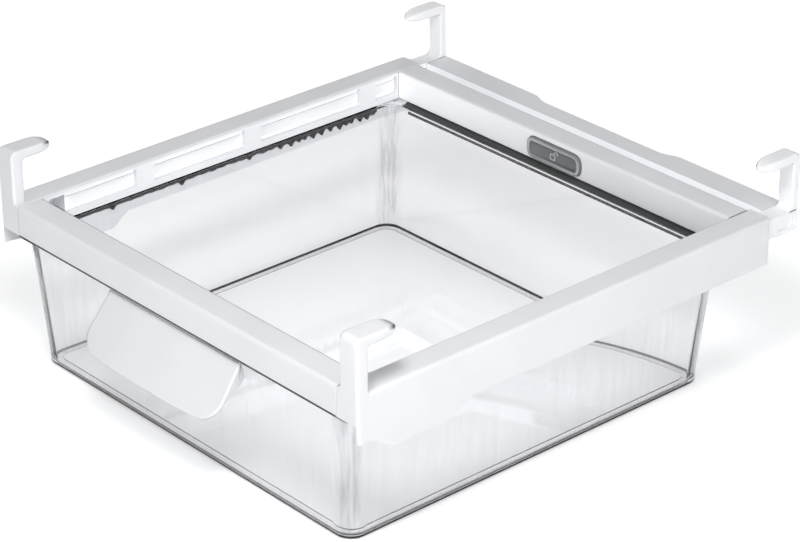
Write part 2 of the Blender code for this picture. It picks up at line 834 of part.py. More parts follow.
def lock_pad(name, side):
    """The rubber brake pad on a bar's end, with a neck in the bar's fork."""
    tip = pad_tip
    face = tip - pad_thickness + gap
    obj = box((side * face, bar_front, bar_top), (side * tip, bar_front + bar_width, bar_top - bar_thickness))
    inset = (bar_width - pad_neck) / 2
    add(obj, box((side * (face - pad_neck), bar_front + inset, bar_top),
                 (side * (face + pad_thickness / 2), bar_front + bar_width - inset, bar_top - bar_thickness)))
    return make_part(obj, name, "dark_rubber")


def drawer_ring(inset, z, front_out=0.0, side_out=0.0, rear_out=0.0, radius_change=0.0):
    """The drawer's outline at a height, drawn in by inset and moved out at each side."""
    share = (runner_bottom - z) / (runner_bottom - drawer_bottom)
    share = min(max(share, 0.0), 1.0)
    reach = drawer_top_half - drawer_draft * share - inset + side_out
    front = drawer_front + drawer_front_draft * share + inset - front_out
    rear = drawer_rear - drawer_rear_draft * share - inset + rear_out
    radius = max(drawer_corner_radius - inset + radius_change, drawer_wall / 2)
    corners = [(-reach, front, radius), (reach, front, radius), (reach, rear, radius), (-reach, rear, radius)]
    return [(point[0], point[1], z) for point in rounded(corners, steps=drawer_corner_steps)]


def drawer_bin():
    """The clear tub: one wall, with a foot round its base and a runner flange round its top."""
    floor_top = drawer_bottom + drawer_floor
    foot = drawer_bottom + drawer_foot_height
    foot_in = drawer_foot_width + drawer_bottom_radius
    bend = drawer_bottom_radius
    inner_bend = max(bend - drawer_wall / 2, drawer_wall / 2)
    rings = [
        drawer_ring(foot_in + drawer_foot_height, foot),
        drawer_ring(foot_in, drawer_bottom),
    ]
    for step in range(arc_steps + 1):
        angle = math.pi / 2 * step / arc_steps
        rings.append(drawer_ring(bend * (1 - math.sin(angle)), drawer_bottom + bend * (1 - math.cos(angle))))
    rings += [
        drawer_ring(0.0, runner_bottom),
        drawer_ring(0.0, runner_bottom, rim_front, runner_reach, rim_rear),
        drawer_ring(0.0, runner_top, rim_front, runner_reach, rim_rear),
        drawer_ring(drawer_wall, runner_top),
        drawer_ring(drawer_wall, runner_bottom),
    ]
    for step in range(arc_steps, -1, -1):
        angle = math.pi / 2 * step / arc_steps
        rings.append(drawer_ring(drawer_wall + inner_bend * (1 - math.sin(angle)),
                                 floor_top + inner_bend * (1 - math.cos(angle))))
    rings += [
        drawer_ring(foot_in, floor_top),
        drawer_ring(foot_in + drawer_foot_height, floor_top + drawer_foot_height),
    ]
    obj = loft(rings)
    for side in (-1, 1):
        place = rivet_place(side)
        cut(obj, cylinder(rivet_radius + gap, place - Vector((0, drawer_wall, 0)),
                          place + Vector((0, drawer_wall + overrun, 0))))
    return make_part(obj, "drawer_bin", "clear_plastic")


def wall_front(z):
    """Where the drawer's front wall has its outer face at a height."""
    share = (runner_bottom - z) / (runner_bottom - drawer_bottom)
    return drawer_front + drawer_front_draft * share


def rivet_place(side):
    """The outer mouth of a rivet's hole in the drawer's front wall."""
    z = handle_top - handle_back_height / 2
    return Vector((side * rivet_x, wall_front(z), z))


def drawer_handle():
    """The pull: a leaning plate with a bowed lower edge, side cheeks and a strip on the wall."""
    length = handle_length
    top_half = handle_half_top
    wide = handle_half_top + handle_flare
    bow = [(share * wide, handle_bow * share ** 2 - length, 0.0) for share in handle_bow_shares]
    plate_points = rounded([
        (-top_half, 0.0, handle_thickness / 2),
        (-wide, handle_bow - length, handle_corner_radius),
        *bow,
        (wide, handle_bow - length, handle_corner_radius),
        (top_half, 0.0, handle_thickness / 2),
    ], steps=handle_corner_steps)
    plate = outline_solid(plate_points, "z", -handle_thickness, 0.0)
    top_y = drawer_front - handle_stand_off
    stand = Matrix.Rotation(math.pi / 2 - handle_lean, 4, "X")
    plate.data.transform(Matrix.Translation((0.0, top_y, handle_top)) @ stand)
    low = handle_top - handle_back_height
    strip = [
        (wall_front(handle_top) + overrun / 2, handle_top),
        (wall_front(low) + overrun / 2, low),
        (wall_front(low) - gap - handle_back_thickness, low),
        (top_y, handle_top),
    ]
    add(plate, outline_solid(strip, "x", -top_half, top_half))
    lean = Vector((math.sin(handle_lean), math.cos(handle_lean)))
    core = Vector((top_y, handle_top)) + handle_thickness / 2 * Vector((lean.y, -lean.x))
    cheek_end = core - handle_cheek_run * lean
    cheek = [
        (wall_front(handle_top) + overrun / 2, handle_top),
        (wall_front(low) + overrun / 2, low),
        ((wall_front(low) + cheek_end.x) / 2, (low * 2 + cheek_end.y) / 3),
        tuple(cheek_end),
        tuple(core),
        (top_y, handle_top),
    ]
    for side in (-1, 1):
        add(plate, outline_solid(cheek, "x", side * (top_half - handle_cheek), side * top_half))
    above = handle_top + overrun
    below = handle_top - handle_length
    wall = [
        (wall_front(above) - gap, above),
        (wall_front(below) - gap, below),
        (wall_front(below) + handle_length, below),
        (wall_front(above) + handle_length, above),
    ]
    cut(plate, outline_solid(wall, "x", -wide - overrun, wide + overrun))
    for side in (-1, 1):
        place = rivet_place(side)
        cut(plate, cylinder(rivet_radius + gap, place - Vector((0, handle_back_thickness / 2 + gap, 0)),
                            place + Vector((0, overrun, 0))))
    return make_part(plate, "drawer_handle", "white_plastic")


def handle_rivets():
    """Headed pins from inside the drawer that hold the handle's strip to the wall."""
    for label, side in (("left", -1), ("right", 1)):
        place = rivet_place(side)
        inside = drawer_wall + gap + drawer_front_draft * rivet_head_radius / (drawer_depth - slot_bottom)
        profile = [
            (0.0, inside + rivet_head_height),
            (rivet_head_radius - rivet_head_height / 2, inside + rivet_head_height),
            (rivet_head_radius, inside + rivet_head_height / 2),
            (rivet_head_radius, inside),
            (rivet_radius, inside),
            (rivet_radius, -handle_back_thickness / 2),
            (0.0, -handle_back_thickness / 2),
        ]
        turn = Matrix.Rotation(-math.pi / 2, 4, "X")
        make_part(turned(profile, place, turn), f"handle_rivet_{label}", "clear_plastic")


def set_down():
    """Stand the part on the drawer's base, with the origin under the middle of its outline."""
    front_reach = drawer_front - handle_stand_off - handle_length * math.sin(handle_lean)
    middle = (front_reach + clamp_rear) / 2
    root.location = (0.0, -middle, drawer_depth)


def build():
    clear_scene()
    side_rail("side_rail_left", -1)
    side_rail("side_rail_right", 1)
    front_beam()
    back_beam()
    corner_screws()
    rear_plate()
    rear_bracket("rear_bracket_left", -1)
    rear_bracket("rear_bracket_right", 1)
    bracket_screws()
    lock_button()
    button_spring()
    lock_bar("lock_bar_left", -1)
    lock_bar("lock_bar_right", 1)
    lock_pad("lock_pad_left", -1)
    lock_pad("lock_pad_right", 1)
    drawer_bin()
    drawer_handle()
    handle_rivets()
    set_down()


build()
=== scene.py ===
"""Looks for the fridge drawer organizer: a clear drawer hung from a white hooked frame.

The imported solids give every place. Pieces below are worked out in millimetres on the
part's own design axes: x across, y back from the frame's front face, z up from the
frame's top. place() turns those to metres in the shared frame.
"""

import math

import bmesh
import bpy
import numpy as np
from mathutils import Matrix, Vector


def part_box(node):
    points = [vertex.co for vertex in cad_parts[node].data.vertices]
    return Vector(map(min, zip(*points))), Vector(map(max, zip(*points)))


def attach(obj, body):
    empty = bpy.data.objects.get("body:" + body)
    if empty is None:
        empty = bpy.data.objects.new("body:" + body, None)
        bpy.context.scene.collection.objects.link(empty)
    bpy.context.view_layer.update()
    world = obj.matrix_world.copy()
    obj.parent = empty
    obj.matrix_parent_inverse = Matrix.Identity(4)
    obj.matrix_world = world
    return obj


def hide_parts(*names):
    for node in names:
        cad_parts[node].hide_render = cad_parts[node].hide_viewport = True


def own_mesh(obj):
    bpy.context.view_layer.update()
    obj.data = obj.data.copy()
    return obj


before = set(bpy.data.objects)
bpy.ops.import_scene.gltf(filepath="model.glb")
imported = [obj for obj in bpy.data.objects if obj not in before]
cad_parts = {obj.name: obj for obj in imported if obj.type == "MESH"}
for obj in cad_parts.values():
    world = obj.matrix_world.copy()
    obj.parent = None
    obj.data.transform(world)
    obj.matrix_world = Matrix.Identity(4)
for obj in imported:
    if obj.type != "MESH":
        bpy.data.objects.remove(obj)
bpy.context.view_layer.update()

MM = 0.001
PICTURE = (800, 542)

# The frame's front face and top, which every design place is counted from
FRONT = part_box("front_beam")[0][1] / MM
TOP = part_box("front_beam")[1][2] / MM

# The photograph's view, fitted to the frame's long edges
VIEW_AZIMUTH = 49.02
VIEW_ELEVATION = 27.05
VIEW_ROLL = -0.55
VIEW_DISTANCE = 1711.4
VIEW_TARGET = (0.0, 150.0, -60.0)
VIEW_ASIDE = 6.13
VIEW_ABOVE = 17.99
FOCAL_PIXELS = 3111.7
SENSOR_WIDTH = 36.0

# The studio: the even sky's light, what a gloss sees low down and the heights between which that
# grows to white, then the board's own lift, near and far, as looked at and as seen through the tub
WORLD_LIGHT = 0.25
WORLD_LOW = 0.22
SKY_BAND = (0.35, 0.75)
FLOOR_REACH = 6.0
FLOOR_GLOW = (0.46, 0.78)
GLOW_BAND = (0.25, 0.8)
FLOOR_THROUGH = (0.47, 0.46)
THROUGH_BAND = (0.16, 0.26)

# Each softbox: its place, what it is turned to, its side in metres and its watts
SOFTBOXES = {
    "left_softbox": ((0.35, -1.6, 0.42), (0.1, -0.1, 0.05), 0.8, 6.0),
    "right_softbox": ((1.65, -0.3, 0.34), (0.1, -0.1, 0.05), 0.6, 10.0),
    "top_softbox": ((0.27, -0.34, 0.62), (0.1, -0.1, 0.08), 0.2, 2.1),
    "high_softbox": ((-0.25, 0.45, 1.1), (0.0, 0.0, 0.05), 0.25, 1.3),
    "rear_softbox": ((-1.3, 1.1, 0.22), (-0.05, 0.05, 0.04), 0.6, 9.0),
}

# The white plastic's tints, the brackets' paler pair being painted light, and, in metres on the shared axes,
# where its lifts and lines lie: the lifts, the glow and the facing shares are painted light, the lines
# painted shadow
RAIL_TINTS = ("#EBECEF", "#EFF0F3")
ARM_TINTS = ("#F0F1F4", "#F4F5F7")
SEAM_REACH = 0.8 * MM
INNER_START = 0.1335
RAIL_INNER = 0.1366
BRACKET_INNER = 0.1372
INNER_FADE = 0.4 * MM
SKIRT_LEVEL = 0.0748
WALL_LEVEL = 0.0938
ARM_LEVEL = 0.0923
LEVEL_FADE = 0.6 * MM
# Heights of the painted shadow lines on the brackets' inner faces, and their half width
PAINTED_SHADOW_LINES = (0.0917, 0.0898)
LINE_HALF = 0.17 * MM
SKIRT_LIFT = 0.42
WALL_LIFT = 0.24
ARM_LIFT = 0.42
ARM_GLOW = 0.11
FACING_SPAN = (-0.13, 0.06)
BEAM_FACING = (0.4, 0.02)
PLATE_FACING = (0.32, 0.32)

# The frame and its hooks, in millimetres
HALF_WIDTH = 150.0
MERGE_REACH = 0.001
FLAT_ANGLE = 0.3
EDGE_ROLL = 0.5
EDGE_STEPS = 2
EDGE_ANGLE = 35.0
RAIL_CORNER = 4.5
HOOK_TOP = 30.6
HOOK_UNDER = 25.2
POST_WIDTH = 13.6
POST_CORNER = 2.0
POST_DEPTH = 7.5
POST_MARKS = (-3.0, 8.0, 18.0)
PROUD = 0.02
BEND_STEPS = 8
FRONT_REACH = 28.4
FRONT_BEND = 4.0
FRONT_TURN = (11.0, 12.0)
THROAT = 2.5
NOSE_LENGTH = 10.0
NOSE_HEIGHT = 2.1
NOSE_STEPS = 10
HOOK_EDGE = 1.5
ARM_INNER = 136.7
ARM_OUTER = 147.3
ARM_TOP = -2.7
CLAMP_REAR = 315.5
REAR_POST_DEPTH = 4.6
REAR_REACH = 27.3
REAR_BEND = 2.8
REAR_THROAT = 1.2
REAR_FILLET = 3.5
REAR_RISES = (-0.6, 0.5, 1.5, 2.5, REAR_FILLET)
REAR_MARKS = (12.0, 20.0)
REAR_TURN = (306.0, 304.0)
REAR_EDGE = 1.1
REAR_NOSE_LENGTH = 12.0

# The lock button, in millimetres
BEAM_FACE = 274.8
BUTTON_PROUD = 1.8
BUTTON_WIDTH = 43.2
BUTTON_HEIGHT = 13.0
BUTTON_TOP = -2.9
BUTTON_CORNER = 5.0
BUTTON_ROLL = 1.0
BUTTON_RIM = 1.0
BUTTON_DISH = 1.2
BUTTON_SLOPE = 1.7
BUTTON_SINK = 1.4
SIGN_DROP = 0.9
SIGN_ASIDE = 0.8
SIGN_HALF = 1.8
SIGN_TALL = 1.6
SIGN_CORNER = 0.5
SIGN_LINE = 0.7
SIGN_PROUD = 0.4
SIGN_ROOT = 0.2

# The clear tub, with its sheet and strips of painted shade, in millimetres
TUB_TOP_HALF = 135.5
TUB_FRONT = 3.9
TUB_REAR = 270.9
TUB_DRAFT = (4.7, 5.2, 8.3)
TUB_WALL = 2.0
TUB_FLOOR = 2.2
TUB_BOTTOM = -95.5
TUB_RIM_LOW = -20.2
TUB_RIM_HIGH = -18.2
TUB_CORNER = 10.0
TUB_INNER_CORNER = 13.0
TUB_STEPS = 16
TUB_BEND = 1.5
TUB_FOOT = 4.0
TUB_FOOT_HEIGHT = 0.5
TUB_FOOT_LEAN = 0.15
TUB_FOOT_SIDE = 0.8
TUB_EDGE = 0.5
TUB_INNER_BEND = 1.3
FOOT_LINE_FROM = 20.0
FOOT_LINE_PROUD = 0.05
FOOT_LINE_UP = 0.6
FOOT_LINE_IN = 0.2
RIM_OUT = (9.5, 2.0, 6.5)
RIM_SHADE = 0.35
RIM_SHADE_BEAD = 1.6
RIM_SHADE_SINK = 0.02
RIM_SHADE_LIP = 0.45
RIM_SHADE_END = 131.0
FRONT_BAND = 124.0
REAR_BAND = ((-124.0, -127.5), (126.0, 129.0))
REAR_BEAD = (-120.0, 122.0)
BEAD_GAP = 0.15
BEAD_THICK = 0.25
RIM_SHADE_RUN = (16.0, 258.0)
RIM_SHADE_LUMPS = (63.7, 112.0, 161.0, 184.0, 192.0, 198.0, 202.6, 209.0, 215.5, 222.0, 229.0, 234.0,
                238.5, 245.0, 250.0, 255.0)
LUMP_REACH = 1.9
LUMP_SPREAD = 1.6
BEAD_STEPS = 241
BEAD_WAVES = (7.3, 19.0)

# The drawer's pull, in millimetres
PULL_TOP = -20.5
PULL_HALF = 55.0
PULL_FLARE = 1.4
PULL_LENGTH = 36.8
PULL_BOW = 1.2
PULL_THICK = 2.6
PULL_LEAN = math.radians(37.5)
PULL_CORNER = 13.5
PULL_STAND_OFF = 1.0
PULL_EDGE = 1.15
STRIP_HEIGHT = 10.5
STRIP_THICK = 2.2
STRIP_INSET = 0.8
STRIP_EDGE = 0.3
CHEEK_THICK = 2.2
CHEEK_LENGTH = 26.5
CHEEK_EDGE = 0.5
WALL_SINK = 0.3
PULL_TOP_CORNER = 1.6


def place(points):
    """Design millimetres to metres in the shared frame."""
    return (np.asarray(points, dtype=float) + (0.0, FRONT, TOP)) * MM


def linear(hex_colour):
    """An sRGB hex colour as linear red, green, blue and alpha."""
    channels = [int(hex_colour[i:i + 2], 16) / 255 for i in (1, 3, 5)]
    curve = [c / 12.92 if c <= 0.04045 else ((c + 0.055) / 1.055) ** 2.4 for c in channels]
    return (*curve, 1.0)


def add_node(tree, kind, settings=None, wires=None, **links):
    """Add one shader node. settings go to properties or sockets, hex colours turned to linear; span
    is a range's (from, from, to, to) and ramp its (place, hex colour) pairs. links join sockets to
    its inputs by name and wires by number, where a node stands for its first output."""
    node = tree.nodes.new("ShaderNode" + kind)
    for name, value in (settings or {}).items():
        if isinstance(value, str) and value.startswith("#"):
            value = linear(value)
        if name == "ramp":
            for element, (position, colour) in zip(node.color_ramp.elements, value):
                element.position, element.color = position, linear(colour)
        elif name == "span":
            for number, end in enumerate(value, 1):
                node.inputs[number].default_value = end
        elif isinstance(name, int) or name in node.inputs:
            node.inputs[name].default_value = value
        else:
            setattr(node, name, value)
    named = {name.replace("_", " "): source for name, source in links.items()}
    for name, source in {**(wires or {}), **named}.items():
        tree.links.new(getattr(source, "outputs", [source])[0], node.inputs[name])
    return node


def fresh_material(name):
    """An empty node material: itself, its tree and the socket of the object's coordinates."""
    material = bpy.data.materials.new(name)
    material.use_nodes = True
    tree = material.node_tree
    tree.nodes.clear()
    return material, tree, add_node(tree, "TexCoord").outputs["Object"]


def moulded_abs(name, tints, inner_end, levels, lifts, facing=(0.0, 0.0), lines=(), glow=0.0):
    """Injection-moulded white ABS: a cool near-white, satin, with a spark-eroded grain of
    about 0.4 mm that breaks up its highlights and a slow change of sheen along its length.
    Painted shade darkens seams, inner corners within 0.8 mm, the roll of lower edges and the roll of
    top edges that turn left or back, away from the light.

    Lamps alone miss the light that clear walls and white neighbours pass on, so painted light
    stands in for it: inner faces out to inner_end glow by lifts below and above levels[0], up to
    levels[1], and faces turned to the front glow by facing, from the left end to the right. lines
    are heights of painted shadow lines; glow is an even painted glow over the whole piece."""
    material, tree, spot = fresh_material(name)
    grain = add_node(tree, "TexNoise", {"Scale": 2500.0, "Detail": 2.0}, Vector=spot)
    cloud = add_node(tree, "TexNoise", {"Scale": 22.0, "Detail": 2.0}, Vector=spot)
    sheen = add_node(tree, "MapRange", {"span": (0.0, 1.0, 0.32, 0.46)}, Value=cloud)
    tint = add_node(tree, "ValToRGB", {"ramp": ((0.35, tints[0]), (0.65, tints[1]))}, Fac=cloud)
    bump = add_node(tree, "Bump", {"Strength": 0.06, "Distance": 0.04 * MM}, Height=grain)
    wide, _, high = add_node(tree, "SeparateXYZ", Vector=spot).outputs
    across = add_node(tree, "Math", {"operation": "ABSOLUTE"}, {0: wide})
    begun = add_node(tree, "Math", {"operation": "GREATER_THAN", 1: INNER_START}, {0: across})
    ended = add_node(tree, "MapRange", {"span": (inner_end, inner_end + INNER_FADE, 1.0, 0.0)}, Value=across)
    band = add_node(tree, "Math", {"operation": "MULTIPLY"}, {0: begun, 1: ended})
    normal = add_node(tree, "NewGeometry").outputs["Normal"]
    right, back, up = add_node(tree, "SeparateXYZ", Vector=normal).outputs
    aside = add_node(tree, "Math", {"operation": "ABSOLUTE"}, {0: right})
    sideways = add_node(tree, "MapRange", {"span": (0.6, 0.95, 0.0, 1.0)}, Value=aside)
    inner = add_node(tree, "Math", {"operation": "MULTIPLY"}, {0: band, 1: sideways})
    # Painted shade in seams and inner corners, on the rolls of lower edges and of top edges turned from the
    # light, and painted shadow lines
    seam = add_node(tree, "AmbientOcclusion", {"samples": 8, "Distance": SEAM_REACH})
    shade = add_node(tree, "MapRange", {"span": (0.15, 0.56, 1.0, 0.0)}, Value=seam.outputs["AO"])
    roll = add_node(tree, "MapRange", {"span": (-0.9, -0.25, 0.75, 0.0)}, Value=up)
    flat = add_node(tree, "MapRange", {"span": (-0.985, -0.93, 0.0, 1.0)}, Value=up)
    lower = add_node(tree, "Math", {"operation": "MULTIPLY"}, {0: roll, 1: flat})
    leftward = add_node(tree, "Math", {"operation": "MULTIPLY", 1: -1.0}, {0: right})
    averted = add_node(tree, "Math", {"operation": "MAXIMUM"}, {0: leftward, 1: back})
    far = add_node(tree, "MapRange", {"span": (0.12, 0.45, 0.0, 0.95)}, Value=averted)
    upward = add_node(tree, "MapRange", {"span": (0.1, 0.4, 0.0, 1.0)}, Value=up)
    upper = add_node(tree, "Math", {"operation": "MULTIPLY"}, {0: far, 1: upward})
    rolls = add_node(tree, "Math", {"operation": "MAXIMUM"}, {0: lower, 1: upper})
    dark = add_node(tree, "Math", {"operation": "MAXIMUM"}, {0: shade, 1: rolls})
    # Painted shadow lines: thin dark bands at the given heights on the inner faces
    for height in lines:
        line = add_node(tree, "Math", {"operation": "COMPARE", 1: height, 2: LINE_HALF}, {0: high})
        line = add_node(tree, "Math", {"operation": "MULTIPLY"}, {0: line, 1: inner})
        dark = add_node(tree, "Math", {"operation": "MAXIMUM"}, {0: dark, 1: line})
    # Painted shade: the white is mixed towards dark grey wherever these marks lie
    painted_shade = add_node(tree, "Mix", {"data_type": "RGBA", 7: "#45474B"}, {0: dark, 6: tint}).outputs[2]
    # Painted light: glows standing for the light that the clear walls and white neighbours pass on, for
    # faces turned to the front, and over the whole piece
    level = add_node(tree, "MapRange", {"span": (levels[0], levels[0] + LEVEL_FADE, *lifts)}, Value=high)
    below = add_node(tree, "MapRange", {"span": (levels[1], levels[1] + LEVEL_FADE, 1.0, 0.0)}, Value=high)
    amount = add_node(tree, "Math", {"operation": "MULTIPLY"}, {0: level, 1: below})
    frontal = add_node(tree, "MapRange", {"span": (-0.95, -0.6, 1.0, 0.0)}, Value=back)
    along = add_node(tree, "MapRange", {"span": (*FACING_SPAN, *facing)}, Value=wide)
    faced = add_node(tree, "Math", {"operation": "MULTIPLY"}, {0: frontal, 1: along})
    passed = add_node(tree, "Math", {"operation": "MULTIPLY_ADD"}, {0: inner, 1: amount, 2: faced})
    lift = add_node(tree, "Math", {"operation": "ADD", 1: glow}, {0: passed})
    shader = add_node(
        tree, "BsdfPrincipled", {"IOR": 1.53}, Base_Color=painted_shade, Emission_Color=painted_shade,
        Emission_Strength=lift, Roughness=sheen, Normal=bump,
    )
    add_node(tree, "OutputMaterial", Surface=shader)
    return material


def clear_styrene():
    """Clear moulded styrene: polished and colourless, with a grey tint where the eye looks
    along a wall's depth and very slight flow waves from the mould; grey streaks of painted
    reflection about 2 mm wide run down the corners, and painted shade darkens the foot's outer edge."""
    material, tree, spot = fresh_material("clear_moulded_styrene")
    flow = add_node(tree, "TexNoise", {"Scale": 30.0, "Detail": 1.0}, Vector=spot)
    bump = add_node(tree, "Bump", {"Strength": 0.04, "Distance": 0.4 * MM}, Height=flow)
    foot = add_node(tree, "Attribute", {"attribute_name": "foot_edge"}).outputs["Fac"]
    # Painted reflection: grey streaks down the wall's corners
    corner = add_node(tree, "Attribute", {"attribute_name": "wall_corner"}).outputs["Fac"]
    squeeze = add_node(tree, "Mapping", {"Scale": (1.0, 1.0, 0.03)}, Vector=spot)
    streak = add_node(tree, "TexNoise", {"Scale": 420.0, "Detail": 2.0}, Vector=squeeze)
    lines = add_node(tree, "MapRange", {"span": (0.4, 0.7, 0.0, 1.0)}, Value=streak)
    amount = add_node(tree, "Math", {"operation": "MULTIPLY"}, {0: lines, 1: corner})
    walls = add_node(tree, "Mix", {"data_type": "RGBA", 6: "#FCFCFD", 7: "#D4D6D8"}, {0: amount})
    # Painted shade: the tint goes near black along the foot's outer bend
    tint = add_node(tree, "Mix", {"data_type": "RGBA", 7: "#14131C"}, {0: foot, 6: walls.outputs[2]})
    shader = add_node(tree, "BsdfPrincipled", {"Roughness": 0.01, "IOR": 1.57, "Transmission Weight": 0.98},
                      Base_Color=tint.outputs[2], Normal=bump)
    through = add_node(tree, "BsdfTransparent", {"Color": "#F7F7F8"})
    path = add_node(tree, "LightPath")
    mix = add_node(tree, "MixShader", None, {0: path.outputs["Is Shadow Ray"], 1: shader, 2: through})
    depth = add_node(tree, "VolumeAbsorption", {"Color": "#A7A9AD", "Density": 50.0})
    add_node(tree, "OutputMaterial", Surface=mix, Volume=depth)
    return material


def foot_shade_sheet():
    """An opaque sheet of painted shade on the foot's outer bend, in place of the dark line that the
    clear styrene shows there seen edge-on: glossy, nearly black violet-grey, with streaks."""
    material, tree, spot = fresh_material("painted_shade_on_foot")
    squeeze = add_node(tree, "Mapping", {"Scale": (1.0, 1.0, 6.0)}, Vector=spot)
    streak = add_node(tree, "TexNoise", {"Scale": 160.0, "Detail": 2.0}, Vector=squeeze)
    tint = add_node(tree, "ValToRGB", {"ramp": ((0.4, "#17161F"), (0.75, "#4A4853"))}, Fac=streak)
    rough = add_node(tree, "MapRange", {"span": (0.0, 1.0, 0.08, 0.2)}, Value=streak)
    shader = add_node(tree, "BsdfPrincipled", {"IOR": 1.57, "Specular IOR Level": 0.2},
                      Base_Color=tint, Roughness=rough)
    add_node(tree, "OutputMaterial", Surface=shader)
    return material


def soft_grip():
    """Grey moulded elastomer of the lock button: dull, with a fine even grain of 0.3 mm and a
    slightly paler bloom; a painted highlight makes the rolled rim pale and painted shade darkens
    the dish."""
    material, tree, spot = fresh_material("grey_moulded_elastomer")
    grain = add_node(tree, "TexNoise", {"Scale": 3300.0, "Detail": 3.0}, Vector=spot)
    bloom = add_node(tree, "TexNoise", {"Scale": 140.0, "Detail": 2.0}, Vector=spot)
    tint = add_node(tree, "ValToRGB", {"ramp": ((0.3, "#76787B"), (0.7, "#808285"))}, Fac=bloom)
    bump = add_node(tree, "Bump", {"Strength": 0.2, "Distance": 0.05 * MM}, Height=grain)
    painted_highlight = add_node(tree, "Attribute", {"attribute_name": "rim_wear"}).outputs["Fac"]
    # Painted highlight on the rolled rim, then painted shade in the dish
    rim = add_node(tree, "Mix", {"data_type": "RGBA", 7: "#C2C4C6"}, {0: painted_highlight, 6: tint})
    sunk = add_node(tree, "Attribute", {"attribute_name": "dish_shade"}).outputs["Fac"]
    dish = add_node(tree, "Mix", {"data_type": "RGBA", 7: "#3C3E41"}, {0: sunk, 6: rim.outputs[2]})
    shader = add_node(tree, "BsdfPrincipled", {"Roughness": 0.34, "IOR": 1.5},
                      Base_Color=dish.outputs[2], Normal=bump)
    add_node(tree, "OutputMaterial", Surface=shader)
    return material


def sign_highlight():
    """The raised open-lock sign's painted highlight: a paler, slightly glossier grey than the button."""
    material, tree, spot = fresh_material("pale_painted_highlight_of_sign")
    speck = add_node(tree, "TexNoise", {"Scale": 2500.0, "Detail": 2.0}, Vector=spot)
    rough = add_node(tree, "MapRange", {"span": (0.0, 1.0, 0.3, 0.45)}, Value=speck)
    shader = add_node(tree, "BsdfPrincipled", {"Base Color": "#B9BEC0", "IOR": 1.5}, Roughness=rough)
    add_node(tree, "OutputMaterial", Surface=shader)
    return material


def rubber_and_rim_shade():
    """Black nitrile of the brake pads, also on the rim's dark strips of painted shade: matte with a
    faint dusty tone; the side strips, 131 mm and more from the middle, are painted blacker as
    shade and given less gloss."""
    material, tree, spot = fresh_material("black_nitrile_and_painted_rim_shade")
    dust = add_node(tree, "TexNoise", {"Scale": 900.0, "Detail": 3.0}, Vector=spot)
    rough = add_node(tree, "MapRange", {"span": (0.0, 1.0, 0.6, 0.8)}, Value=dust)
    tint = add_node(tree, "ValToRGB", {"ramp": ((0.3, "#3A3C3D"), (0.75, "#464848"))}, Fac=dust)
    where = add_node(tree, "SeparateXYZ", Vector=spot)
    across = add_node(tree, "Math", {"operation": "ABSOLUTE"}, {0: where.outputs["X"]})
    side = add_node(tree, "Math", {"operation": "GREATER_THAN", 1: RIM_SHADE_END * MM}, {0: across})
    # Painted shade: the side strips are blacker, with less gloss
    shaded_sides = add_node(tree, "Mix", {"data_type": "RGBA", 7: "#0D0C10"}, {0: side, 6: tint})
    bloom = add_node(tree, "MapRange", {"span": (0.0, 1.0, 0.5, 0.06)}, Value=side)
    shader = add_node(tree, "BsdfPrincipled", {"IOR": 1.5}, Base_Color=shaded_sides.outputs[2],
                      Roughness=rough, Specular_IOR_Level=bloom)
    add_node(tree, "OutputMaterial", Surface=shader)
    return material


def zinc_steel():
    """Zinc-plated steel of the screws and the spring: bright, with a cloudy plating."""
    material, tree, spot = fresh_material("zinc_plated_steel")
    cloud = add_node(tree, "TexNoise", {"Scale": 700.0, "Detail": 4.0}, Vector=spot)
    rough = add_node(tree, "MapRange", {"span": (0.0, 1.0, 0.22, 0.4)}, Value=cloud)
    shader = add_node(tree, "BsdfPrincipled", {"Base Color": "#B9BCBE", "Metallic": 1.0}, Roughness=rough)
    add_node(tree, "OutputMaterial", Surface=shader)
    return material


def new_piece(name, mesh, material, body, slot, *nodes):
    """Show a mesh as a piece of the product, riding on a body in place of the named solids."""
    obj = bpy.data.objects.new(name, mesh)
    bpy.context.scene.collection.objects.link(obj)
    mesh.materials.clear()
    mesh.materials.append(material)
    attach(obj, body)
    if nodes:
        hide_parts(*nodes)
    return obj


def skin(name, rings, shades=None, loop=False):
    """A closed mesh through rings of equally many points, each end closed by one flat face, or
    the last ring joined to the first in a loop. shades are named arrays of one value a point,
    kept as attributes for the material."""
    rings = np.asarray(rings)
    rows, count = rings.shape[:2]
    row = np.arange(rows if loop else rows - 1)[:, None]
    here, there = row * count, (row + 1) % rows * count
    around = np.arange(count)[None, :]
    after = (around + 1) % count
    quads = np.stack([here + around, here + after, there + after, there + around], axis=-1).reshape(-1, 4)
    mesh = bpy.data.meshes.new(name)
    ends = [] if loop else [list(range(count))[::-1], list(range((rows - 1) * count, rows * count))]
    mesh.from_pydata(place(rings.reshape(-1, 3)).tolist(), [], quads.tolist() + ends)
    mesh.polygons.foreach_set("use_smooth", np.arange(len(mesh.polygons)) < len(quads))
    for label, values in (shades or {}).items():
        layer = mesh.attributes.new(label, "FLOAT", "POINT")
        layer.data.foreach_set("value", np.asarray(values, dtype=np.float32).ravel())
    turn_outwards(mesh)
    return mesh


def turn_outwards(mesh):
    """Recalculate a closed mesh's normals, so that every island faces outwards."""
    bm = bmesh.new()
    bm.from_mesh(mesh)
    bmesh.ops.recalc_face_normals(bm, faces=bm.faces)
    bm.to_mesh(mesh)
    bm.free()


def joined(name, *meshes):
    """One mesh holding the islands of several."""
    bm = bmesh.new()
    for mesh in meshes:
        bm.from_mesh(mesh)
        bpy.data.meshes.remove(mesh)
    whole = bpy.data.meshes.new(name)
    bm.to_mesh(whole)
    bm.free()
    return whole


